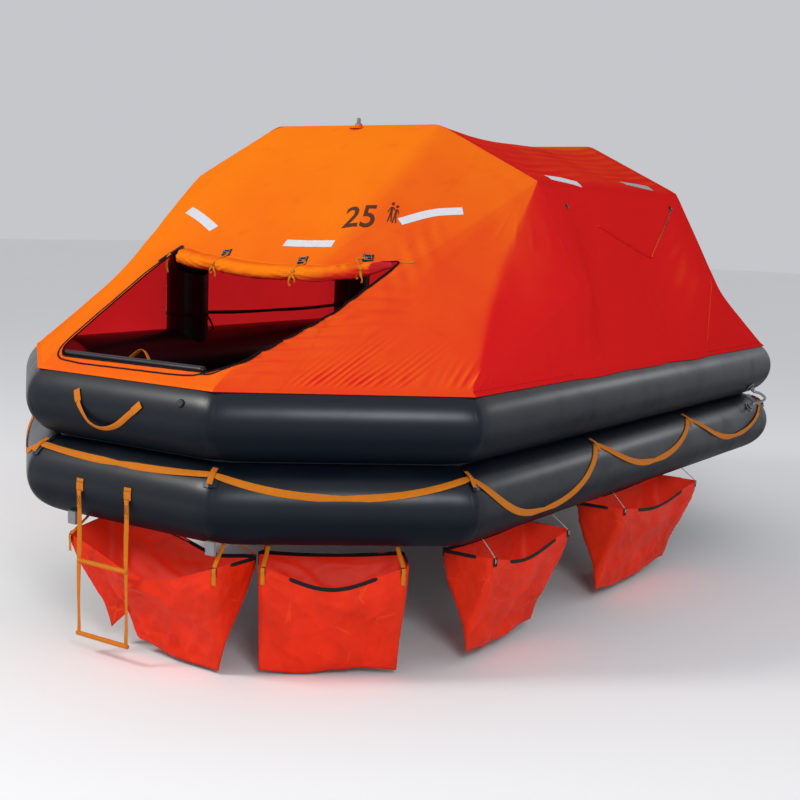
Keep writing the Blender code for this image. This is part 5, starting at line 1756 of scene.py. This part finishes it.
class RAFT_OT_ladders(bpy.types.Operator):
    """Dresses both boarding ladders: straps with stitched tabs, two rungs each, and their loops"""
    bl_idname = "raft.ladders"
    bl_label = "Boarding ladders"

    def execute(self, context):
        orange = finish("orange_webbing")
        axis_y, axis_z = LADDER_AXIS
        for number, (side, x) in enumerate(zip(("left", "right"), LADDER_X)):
            bottom = RUNG_Z[1] - RUNG_RADIUS
            z = np.linspace(axis_z, bottom, 70)
            fall = (axis_z - z) / (axis_z - bottom)
            bow = 0.0028 * np.sin(fall * 7 + number * 2)
            bow = bow * np.minimum(fall * 6, 1) * np.minimum((1 - fall) * 8, 1)
            path = np.stack([x + 0.5 * bow, axis_y + 0.5 * bow, z], 1)
            twist = 0.30 * np.sin(fall * 5 + number)
            twist = twist * np.minimum(fall * 5, 1) * np.minimum((1 - fall) * 5, 1)
            ups = np.stack([np.sin(twist), -np.cos(twist), 0 * z], 1)
            strap = ribbon("strap", path, ups, LADDER_WIDTH, STRAP, orange)
            eye = eyelet_roll(x, axis_y, axis_z, orange)
            tab = np.linspace((x, axis_y - 0.0030, axis_z), (x, axis_y - 0.0030, axis_z - 0.075), 9)
            tab = ribbon("tab", tab, (0, -1, 0), LADDER_WIDTH - 0.001, TAB, orange)
            stitches = box_stitches(x, axis_y - 0.0045, axis_z - 0.040)
            web = joined(f"near_ladder_{side}_webbing", [strap, eye, tab, stitches])
            pair(web, f"near_ladder_{side}_strap", "near_ladder")
            self.add_loop(f"near_ladder_{side}_loop", x, orange)
        for label, z in zip(("upper", "lower"), RUNG_Z):
            knob = 0.008 if label == "lower" else 0.0
            start, end = LADDER_X[0] - 0.006 - knob, LADDER_X[1] + 0.006 + knob
            xs = np.linspace(start, end, 48)
            edge = np.minimum(xs - start, end - xs)
            radius = RUNG_RADIUS * (0.80 + 0.20 * np.clip(edge / 0.004, 0, 1))
            radius = radius - 0.0018 * bump_at(edge, 0.020, 0.006) + 0.0003 * noise(xs * 60, 0, 401)
            path = np.stack([xs, np.full(48, axis_y), np.full(48, z)], 1)
            rung = pipe(f"near_ladder_{label}_bar", path, radius, orange, 20)
            pair(rung, f"near_ladder_{label}_rung", "near_ladder")
        return {"FINISHED"}

    def add_loop(self, node, x, webbing):
        """The loop on the tube, folded down to the strap's eye."""
        angles = np.radians(np.linspace(*LOOP_ANGLES, 16))
        path, ups = tube_band(np.full(16, end_place(x)), angles, np.full(16, 0.0018))
        loop = ribbon("loop", path, ups, 0.044, STRAP, webbing)
        cross = tube_points(end_place(x + np.linspace(-0.021, 0.021, 9)), math.radians(6), LOWER_Z,
                            TUBE_RADIUS + 0.0036)
        line = pipe("line", cross, 0.0009, finish("black_webbing"), 6)
        pair(joined(node + "_webbing", [loop, line]), node)


def eyelet_roll(x, y, z, webbing):
    """The rolled eye at a strap's top."""
    return pipe("eye", np.linspace((x - 0.013, y, z), (x + 0.013, y, z), 10), 0.0042, webbing, 16)


def box_stitches(x, y, z):
    """A stitched box with its cross, as thread on the webbing."""
    thread = finish("black_webbing")
    wide, high = 0.008, 0.020
    corners = ((-wide, -high), (wide, -high), (wide, high), (-wide, high))
    runs = list(zip(corners, corners[1:] + corners[:1])) + [corners[::2], corners[1::2]]
    lines = []
    for (x0, z0), (x1, z1) in runs:
        path = np.linspace((x + x0, y, z + z0), (x + x1, y, z + z1), 6)
        lines.append(pipe("stitches", path, 0.0006, thread, 5))
    return joined("stitches", lines)


# Each kind of bag's foot, as (along, height).
END_FOOT = ((-0.312, -0.574), (-0.206, -0.468), (-0.139, -0.586), (0.076, -0.626), (0.160, -0.636),
            (0.364, -0.636))
CORNER_FOOT = ((-0.319, -0.636), (-0.097, -0.642), (0.168, -0.616), (0.303, -0.628))
FORE_FOOT = ((-0.360, -0.586), (-0.202, -0.600), (0.031, -0.598), (0.136, -0.578), (0.275, -0.577))
AFT_FOOT = ((-0.527, -0.594), (-0.311, -0.610), (0.021, -0.616), (0.250, -0.583), (0.413, -0.582))
# The bag and its half-turned twin, the bag's side, the middle of its hem along the side, the hem's
# width, how far the outer hem dips and where, and its foot.
BAGS = (
    ("near_end", "far_end", NEAR_END, 0.13, 0.94, 0.130, 0.15, END_FOOT),
    ("near_corner", "far_corner", NEAR_CORNER, -0.02, 0.66, 0.098, -0.05, CORNER_FOOT),
    ("right_fore", "left_aft", RIGHT_SIDE, -1.29, 0.78, 0.060, -0.25, FORE_FOOT),
    ("right_aft", "left_fore", RIGHT_SIDE, 0.25, 1.08, 0.060, -0.15, AFT_FOOT),
)
# The hem's height, half the bag's depth there, how far its inner hem sags, how far its straps sit
# inside its corners, and its grid.
BAG_HEM_Z = -0.115
BAG_HALF_DEPTH = 0.135
BAG_BACK_DIP = 0.014
BAG_STRAP = 0.024
BAG_ROWS = 44
BAG_COLUMNS = 128


def bag_outline(half, depth, columns):
    """Points round a bag as (along, out), evenly spaced from its outer left corner."""
    corner = min(0.02, depth * 0.6)
    outer = [(-half, depth - corner), (-half + corner, depth), (half - corner, depth),
             (half, depth - corner)]
    loop = np.array(outer + [(-along, -out) for along, out in outer] + outer[:1])
    run = run_along(loop)
    return between(np.linspace(0, run[-1], columns, endpoint=False), run, loop)


def back_hem(side, foot):
    """How far a bag's inner hem hangs below its corners. The end bags' is taut on the left."""
    dip = BAG_BACK_DIP * (1 - side**2)
    if foot is END_FOOT:
        dip = dip + 0.030 * bump_at(side, 0.55, 0.32) * (1 - side**2)
        dip = dip - 0.045 * (1 - ramp(side, -0.35, 0.45))
    return dip


def bag_grid(hem, dip, dip_at, foot, seed):
    """A sagging bag as a grid of (along, out, z), rows from the hem down, columns round it."""
    foot_line = np.array(foot)
    left, right = foot_line[0, 0], foot_line[-1, 0]
    falls = np.linspace(0, 1, BAG_ROWS + 1)
    rows = []
    for fall in falls:
        depth = BAG_HALF_DEPTH * (1 - ramp(fall, 0.05, 1.0)) ** 0.9 + 0.0022
        straight = fall**1.1
        low = -hem / 2 * (1 - straight) + left * straight
        high = hem / 2 * (1 - straight) + right * straight
        ring = bag_outline((high - low) / 2, depth, BAG_COLUMNS)
        side = ring[:, 0] / ((high - low) / 2)
        along = ring[:, 0] + (low + high) / 2
        wall = np.clip(ring[:, 1] / depth, -1, 1) * 0.5 + 0.5
        front = dip * (1 - side**2) ** 0.8 * bump_at(side, dip_at, 0.95)
        top = BAG_HEM_Z - front * wall - back_hem(side, foot) * (1 - wall)
        foot_along = (left + right) / 2 + side * (right - left) / 2
        bottom = np.interp(foot_along, *foot_line.T) + 0.005 * noise(foot_along * 17, 0, seed)
        rows.append(np.stack([along, ring[:, 1], top + (bottom - top) * fall], 1))
    grid = np.stack(rows)
    along, out, z = np.moveaxis(grid, -1, 0)
    fall = falls[:, None]
    outer = np.sign(out)
    # Tension creases from the hem's corners, a few upright pleats near the foot, and soft billows.
    down = (BAG_HEM_Z - z) / 0.5
    drift = 0.45 * noise(along * 5, down * 4, seed + 2)
    from_left = np.arctan2(down * 0.5, along + hem / 2 + 0.04)
    from_right = np.arctan2(down * 0.5, hem / 2 - along + 0.04)
    creases = 0.011 * folds(from_left * 2.7 + drift, 4, 0.25)
    creases = creases + 0.009 * folds(from_right * 3.3 - drift, 4, 0.25)
    pleats = 0.010 * folds(along * 8.5 + 1.2 * noise(along * 3, down * 2, seed + 3), 3, 0.3)
    pleats = pleats * ramp(fall, 0.35, 0.8)
    billow = 0.016 * layered_noise(along * 4.1 + outer * 3, down * 3.2, seed + 4, 2)
    facets = 0.0050 * np.abs(layered_noise(along * 13 + outer * 7, down * 8, seed + 6, 2))
    streaks = folds(along * 11 + down * 5.5 + 1.4 * noise(along * 4, down * 3, seed + 8), 4, 0.25)
    facets = facets + 0.0048 * streaks * ramp(noise(along * 5 + outer, down * 3, seed + 9), 0.0, 0.5)
    room = ramp(fall, 0.0, 0.12) * (1 - ramp(fall, 0.90, 1.0))
    flat = ramp(np.abs(out) / np.maximum(np.abs(out).max(1, keepdims=True), 1e-6), 0.55, 0.95)
    edge = 1 - 0.9 * np.abs(2 * (along - grid[..., 0].min(1, keepdims=True))
                            / np.ptp(grid[..., 0], axis=1)[:, None] - 1) ** 5
    depth = (creases + pleats + billow + facets) * room * flat * edge
    grid[..., 1] = outer * np.maximum(np.abs(out + outer * depth), 0.0016)
    return grid


def under_tube(point):
    """Height of the lower tube's underside over a point."""
    corners = outline(TUBE_RADIUS)
    off = max(float((point[:2] - corners[side]) @ side_frame(side)[1][:2]) for side in range(8))
    return LOWER_Z - math.sqrt(max(TUBE_RADIUS**2 - off**2, 0))


class RAFT_OT_ballast_bags(bpy.types.Operator):
    """Dresses the eight ballast bags with their hem bindings, corner tabs and straps"""
    bl_idname = "raft.ballast_bags"
    bl_label = "Ballast bags"

    def execute(self, context):
        for turn in (0, 1):
            for number, (*names, side, place, hem, dip, dip_at, foot) in enumerate(BAGS):
                local = bag_grid(hem, dip, dip_at, foot, 500 + 17 * number)
                self.add_bag(names[turn] + "_ballast_bag", (side + 4 * turn) % 8, place, hem, foot, local)
        return {"FINISHED"}

    def add_bag(self, name, side, place_along, hem, foot, local):
        along, out = side_frame(side)
        corners = outline(TUBE_RADIUS)
        middle = (corners[side] + corners[(side + 1) % 8]) / 2
        origin = np.array((*middle, 0)) + along * place_along
        grid = origin + local[..., :1] * along + local[..., 1:2] * out + local[..., 2:] * (0, 0, 1)
        faces = grid_faces(*grid.shape[:2], close_columns=True)
        faces += closed_foot(len(grid) - 1, grid.shape[1])
        shell = mesh_piece(name + "_cloth", grid, faces, [finish("bag_cloth"), finish("bag_lining")])
        thicken(turned_outwards(shell, origin + (0, 0, BAG_HEM_Z - 0.25)), 0.0011, 1)
        settle(shell, replaces=[name])
        height = BAG_HEM_Z - min(z for _, z in foot)
        declared(shell, (2 * hem + 4 * BAG_HALF_DEPTH, height + 0.12), ["lower_buoyancy_tube"])
        ring = grid[0]
        outward = unit(np.cross(np.roll(ring, -1, 0) - np.roll(ring, 1, 0), ring - grid[2]))
        outward = facing(outward, ring - ring.mean(0))
        black = finish("black_webbing")
        trim = self.hem_bands(ring, local[0], outward, 0 if foot is END_FOOT else hem, black)
        straps = []
        for way_along, way_out in ((-1, -1), (-1, 1), (1, -1), (1, 1)):
            target = np.array((way_along * (hem / 2 - BAG_STRAP), way_out * BAG_HALF_DEPTH))
            i = int(np.argmin(np.linalg.norm(local[0, :, :2] - target, axis=1)))
            hang = np.linspace(0.006, -0.034, 6)[:, None] * (0, 0, 1)
            trim.append(ribbon("tab", ring[i] + hang + outward[i] * 0.004, outward[i], 0.024, TAB, black))
            straps.append(self.corner_strap(ring[i], outward[i], along * way_along, out * way_out,
                                            side in (RIGHT_SIDE, LEFT_SIDE)))
        settle(joined(name + "_hem", trim))
        settle(joined(name + "_straps", straps))

    def hem_bands(self, ring, local, outward, hem, black):
        """Binding along the whole inner hem, and along the middle of the outer one if it has any."""
        inner = np.flatnonzero(local[:, 1] < 0.5 * BAG_HALF_DEPTH)
        outer = np.flatnonzero((local[:, 1] > 0.9 * BAG_HALF_DEPTH) & (np.abs(local[:, 0]) < 0.30 * hem))
        bands = []
        for members in (inner, outer) if hem else (inner,):
            line = ring[members] - (0, 0, 0.007)
            taper = np.linspace(0.35, 12, len(line))
            width = np.clip(0.018 * np.minimum(1, taper * taper[::-1] / 6), 0.006, 0.018)
            bands.append(ribbon("band", line, outward[members], width, 0.0040, black))
        return bands

    def corner_strap(self, seat, outward, sideways, away, thin):
        """A strap, or on the raft's sides a cord, from a corner of the hem up to the lower tube."""
        top = seat - away * 0.085 - sideways * 0.022
        top[2] = under_tube(top) + 0.0005
        bow = (top + seat) / 2 + away * 0.004
        if thin:
            path = curved([seat + outward * 0.004 - (0, 0, 0.02), seat + outward * 0.004, bow, top], 6)
            return pipe("cord", path, 0.0026, finish("pale_cord"), 8)
        path = curved([seat + outward * 0.0055 - (0, 0, 0.075), seat + outward * 0.0058 - (0, 0, 0.03),
                       seat + outward * 0.0055, bow, top], 6)
        return ribbon("strap", path, outward + 0.3 * away, 0.019, TAB, finish("orange_webbing"))


def closed_foot(row, columns):
    """Faces that close a bag's last ring of points, from wall to wall."""
    first, last = row * columns, (row + 1) * columns - 1
    return [[first + k, first + k + 1, last - k - 1, last - k] for k in range(columns // 2 - 1)]


# Inlet valves: their share of the right side, and their angle in degrees above and below the
# middle of their tubes; then the hose between them.
VALVE_PLACE = 0.93
VALVE_ANGLE = 40
HOSE_RADIUS = 0.009
HOSE_STEPS = 12
HOSE_SWING = (0.075, 0.020)
HOSE_LEAD = 0.012
VALVE_REACH = 0.030
INLET_VALVES = ((LOWER_Z, VALVE_ANGLE), (UPPER_Z, -VALVE_ANGLE))


def seat_on_tube(side, share, degrees, centre_z, lift=0.0003):
    """A point on a hull tube, with the tube's way out there."""
    angle = math.radians(degrees)
    return tube_points(side + share, angle, centre_z, TUBE_RADIUS + lift), tube_normal(side, angle)


class TrimSettings(bpy.types.PropertyGroup):
    webbing: FloatVectorProperty(
        name="Orange webbing", description="Colour of the lifeline, ladders and straps",
        default=(0.66, 0.190, 0.008), **COLOUR)
    dark: FloatVectorProperty(
        name="Black webbing", description="Colour of black webbing, bindings and plastic",
        default=(0.012, 0.012, 0.014), **COLOUR)
    bag: FloatVectorProperty(
        name="Bag cloth", description="Colour of the ballast bags",
        default=(0.86, 0.030, 0.006), **COLOUR)
    # Painted highlight colour, laid along the bags' creases.
    bag_crease: FloatVectorProperty(
        name="Bag creases", description="Colour of the bags' cloth where it has creased",
        default=(0.92, 0.105, 0.012), **COLOUR)
    zip: FloatVectorProperty(
        name="Zip", description="Colour of the doorway's zip and binding",
        default=(0.011, 0.003, 0.004), **COLOUR)
    tape: FloatVectorProperty(
        name="Reflective tape", description="Colour of the reflective tapes",
        default=(0.80, 0.82, 0.86), **COLOUR)
    ink: FloatVectorProperty(
        name="Print", description="Colour of the capacity figures",
        default=(0.088, 0.026, 0.012), **COLOUR)
    pale: FloatVectorProperty(
        name="Pale plastic", description="Colour of the valves, batteries and top light",
        default=(0.21, 0.215, 0.225), **COLOUR)
    knob: FloatVectorProperty(
        name="Valve knob", description="Colour of the small pull knob at the inlet valves",
        default=(0.30, 0.010, 0.045), **COLOUR)
    wire: FloatVectorProperty(
        name="Buckles", description="Colour of the buckles' wire",
        default=(0.24, 0.24, 0.25), **COLOUR)
    cord: FloatVectorProperty(
        name="Bag cords", description="Colour of the thin cords that hold the side bags' corners",
        default=(0.50, 0.44, 0.38), **COLOUR)
    hose: FloatVectorProperty(
        name="Hose", description="Colour of the inflation hose",
        default=(0.30, 0.32, 0.34), **COLOUR)
    steel: FloatVectorProperty(
        name="Steel", description="Colour of the gas cylinder",
        default=(0.42, 0.44, 0.46), **COLOUR)


# Solids that show as they are, by their finish.
BARE_SOLIDS = {
    "pale_plastic": ("lower_inlet_valve", "upper_inlet_valve", "top_light", "outer_light_battery",
                     "inner_light_battery"),
    "dark_plastic": ("lower_relief_valve", "upper_relief_valve"),
    "weld_tape": ("painter_patch",),
    "cylinder_steel": ("gas_cylinder",),
    "black_webbing": ("cylinder_foot_band", "cylinder_neck_band"),
}


class RAFT_OT_fittings(bpy.types.Operator):
    """Dresses the valves, inflation hose, top light, batteries, painter patch and gas cylinder"""
    bl_idname = "raft.fittings"
    bl_label = "Fittings"

    def execute(self, context):
        for name, members in BARE_SOLIDS.items():
            for node in members:
                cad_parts[node].material_slots[0].material = finish(name)
        self.add_hose()
        self.add_light_boot()
        self.add_valve_details()
        return {"FINISHED"}

    def add_hose(self):
        """The lead between the inlet valves, with its clips."""
        mouths = []
        for centre_z, degrees in INLET_VALVES:
            seat, normal = seat_on_tube(RIGHT_SIDE, VALVE_PLACE, degrees, centre_z)
            mouths.append((seat + normal * VALVE_REACH, normal))
        (start, start_way), (end, end_way) = mouths
        along, out = side_frame(RIGHT_SIDE)
        swing = out * HOSE_SWING[0] + along * HOSE_SWING[1]
        share = np.linspace(0, 1, HOSE_STEPS + 1)[:, None]
        path = start + (end - start) * share + swing * np.sin(np.pi * share)
        path[1] = start + start_way * HOSE_LEAD
        path[-2] = end + end_way * HOSE_LEAD
        smooth = curved(path, 6)
        hose = pipe("inflation_hose_lead", smooth, HOSE_RADIUS - 0.0006, finish("hose_rubber"), 20)
        settle(hose, replaces=["inflation_hose"])
        clips = [pipe("clip", points, HOSE_RADIUS + 0.0018, finish("cylinder_steel"), 20)
                 for points in (smooth[2:8], smooth[-8:-2])]
        settle(joined("hose_clips", clips))

    def add_light_boot(self):
        """The cloth boot that the top light stands on, and its collar."""
        low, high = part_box("top_light")
        x, y = (low.x + high.x) / 2, (low.y + high.y) / 2
        profile = ((0.0, 0.0), (0.021, 0.0), (0.024, -0.004), (0.032, -0.009), (0.050, -0.0155),
                   (0.050, -0.019), (0.0, -0.019))
        boot = turned_piece("top_light_boot", profile, Matrix.Translation((x, y, low.z)),
                            finish("canopy_cloth"), 32)
        settle(boot)

    def add_valve_details(self):
        """A cap ring on each inlet valve, and the pull knob with its cord."""
        profile = ((0.0205, 0.006), (0.0235, 0.0065), (0.0235, 0.012), (0.0205, 0.0125), (0.0205, 0.006))
        rings = []
        for centre_z, degrees in INLET_VALVES:
            seat = standing(*seat_on_tube(RIGHT_SIDE, VALVE_PLACE, degrees, centre_z))
            rings.append(turned_piece("ring", profile, seat, finish("dark_plastic"), 36))
        settle(joined("inlet_valve_rings", rings))
        point, normal = seat_on_tube(RIGHT_SIDE, VALVE_PLACE + 0.035, VALVE_ANGLE - 6, LOWER_Z, 0.004)
        low = point + normal * 0.012 - np.array((0, 0, 0.035))
        cord = curved([point, point + normal * 0.020, low + normal * 0.010, low], 6)
        settle(pipe("inlet_pull_line", cord, 0.0016, finish("black_webbing"), 8))
        profile = ((0, 0.018), (0.006, 0.017), (0.011, 0.012), (0.012, 0.004), (0.007, 0.0), (0, 0))
        foot = Matrix.Translation(Vector(low) - Vector((0, 0, 0.012)))
        knob = turned_piece("inlet_pull_knob", profile, foot, finish("knob_plastic"), 24)
        settle(knob)


class StageSettings(bpy.types.PropertyGroup):
    floor: FloatVectorProperty(
        name="Floor", description="Colour of the studio floor", default=(0.92, 0.92, 0.92), **COLOUR)
    key: FloatProperty(
        name="Key light", description="Power of the soft light from the left front", unit="POWER",
        min=0, default=418.0)
    fill: FloatProperty(
        name="Fill light", description="Power of the soft light from the right", unit="POWER", min=0,
        default=232.0)
    daylight: FloatProperty(
        name="Surround", description="Brightness of the pale surround", min=0, max=4, default=0.60)


CAMERA_AT = (4.2785, -6.7226, 1.3962)
CAMERA_YAW, CAMERA_PITCH, CAMERA_ROLL = np.radians((33.921, -7.880, 2.036)).tolist()
CAMERA_LENS = 58.90
# How far the studio floor reaches, and how far it lies under the raft.
FLOOR_REACH = 60.0
FLOOR_UNDER = 0.012


class RAFT_OT_studio(bpy.types.Operator):
    """Sets the raft on a pale studio floor, with soft lights and the camera"""
    bl_idname = "raft.studio"
    bl_label = "Studio"

    def execute(self, context):
        scene = context.scene
        stage = scene.raft_stage
        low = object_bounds()[0]
        corners = [(x * FLOOR_REACH, y * FLOOR_REACH, 0) for x, y in ((-1, -1), (1, -1), (1, 1), (-1, 1))]
        floor = mesh_piece("studio_floor", corners, [[0, 1, 2, 3]], [self.floor_paint(stage)])
        floor.location.z = low[2] - FLOOR_UNDER
        floor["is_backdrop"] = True
        self.add_light("key_light", (-4.2, -7.6, 6.2), 2.6, stage.key, (1.0, 0.965, 0.92))
        self.add_light("fill_light", (6.3, -6.9, 4.1), 2.3, stage.fill, (0.93, 0.96, 1.0))
        self.add_light("back_light", (4.6, 7.8, 3.4), 1.5, 0.16 * stage.fill, (1.0, 1.0, 1.0))
        world = bpy.data.worlds.new("pale_surround")
        world.use_nodes = True
        sky = world.node_tree.nodes["Background"].inputs
        sky["Color"].default_value = (0.93, 0.95, 1.0, 1)
        sky["Strength"].default_value = stage.daylight
        scene.world = world
        scene.view_settings.view_transform = "Standard"
        lens = bpy.data.cameras.new("camera")
        lens.lens, lens.sensor_width, lens.clip_end = CAMERA_LENS, 36.0, 200.0
        scene.camera = placed("camera", lens)
        turn = (Matrix.Rotation(CAMERA_YAW, 4, "Z") @ Matrix.Rotation(math.pi / 2 + CAMERA_PITCH, 4, "X")
                @ Matrix.Rotation(CAMERA_ROLL, 4, "Z"))
        scene.camera.matrix_world = Matrix.Translation(CAMERA_AT) @ turn
        return {"FINISHED"}

    def floor_paint(self, stage):
        paint = Finish("studio_floor", Roughness=0.9)
        shade = paint.cloudy(0.3, 2.0)
        return paint.shade(Base_Color=paint.mix(shade, deeper(stage.floor, 0.98), stage.floor))

    def add_light(self, name, at, size, power, colour):
        light = bpy.data.lights.new(name, "AREA")
        light.shape, light.size, light.energy, light.color = "DISK", size, power, colour
        lamp = placed(name, light)
        lamp.location = at
        lamp.rotation_euler = (Vector((0, 0, 0.6)) - Vector(at)).to_track_quat("-Z", "Y").to_euler()


STEPS = (RAFT_OT_hull, RAFT_OT_floor, RAFT_OT_end_canopies, RAFT_OT_middle_canopies, RAFT_OT_door_rolls,
         RAFT_OT_lifelines, RAFT_OT_straps, RAFT_OT_ladders, RAFT_OT_ballast_bags, RAFT_OT_fittings,
         RAFT_OT_studio)
SETTINGS = (("raft_canopy", CanopySettings), ("raft_hull", HullSettings), ("raft_trim", TrimSettings),
            ("raft_stage", StageSettings))


class RAFT_PT_raft(bpy.types.Panel):
    """The raft's settings, and a button for each of its groups of pieces"""
    bl_idname = "RAFT_PT_raft"
    bl_label = "Life Raft"
    bl_space_type = "VIEW_3D"
    bl_region_type = "UI"
    bl_category = "Life Raft"

    def draw(self, context):
        layout = self.layout
        for name, settings in SETTINGS:
            box = layout.box()
            for key in settings.__annotations__:
                box.prop(getattr(context.scene, name), key)
        for step in STEPS:
            layout.operator(step.bl_idname)


def register():
    for settings in SETTINGS:
        bpy.utils.register_class(settings[1])
        setattr(bpy.types.Scene, settings[0], PointerProperty(type=settings[1]))
    for step in STEPS + (RAFT_PT_raft,):
        bpy.utils.register_class(step)


def unregister():
    for step in (RAFT_PT_raft,) + STEPS[::-1]:
        bpy.utils.unregister_class(step)
    for settings in SETTINGS[::-1]:
        delattr(bpy.types.Scene, settings[0])
        bpy.utils.unregister_class(settings[1])


def main():
    register()
    for step in STEPS:
        group, name = step.bl_idname.split(".")
        getattr(getattr(bpy.ops, group), name)()


if __name__ == "__main__":
    main()
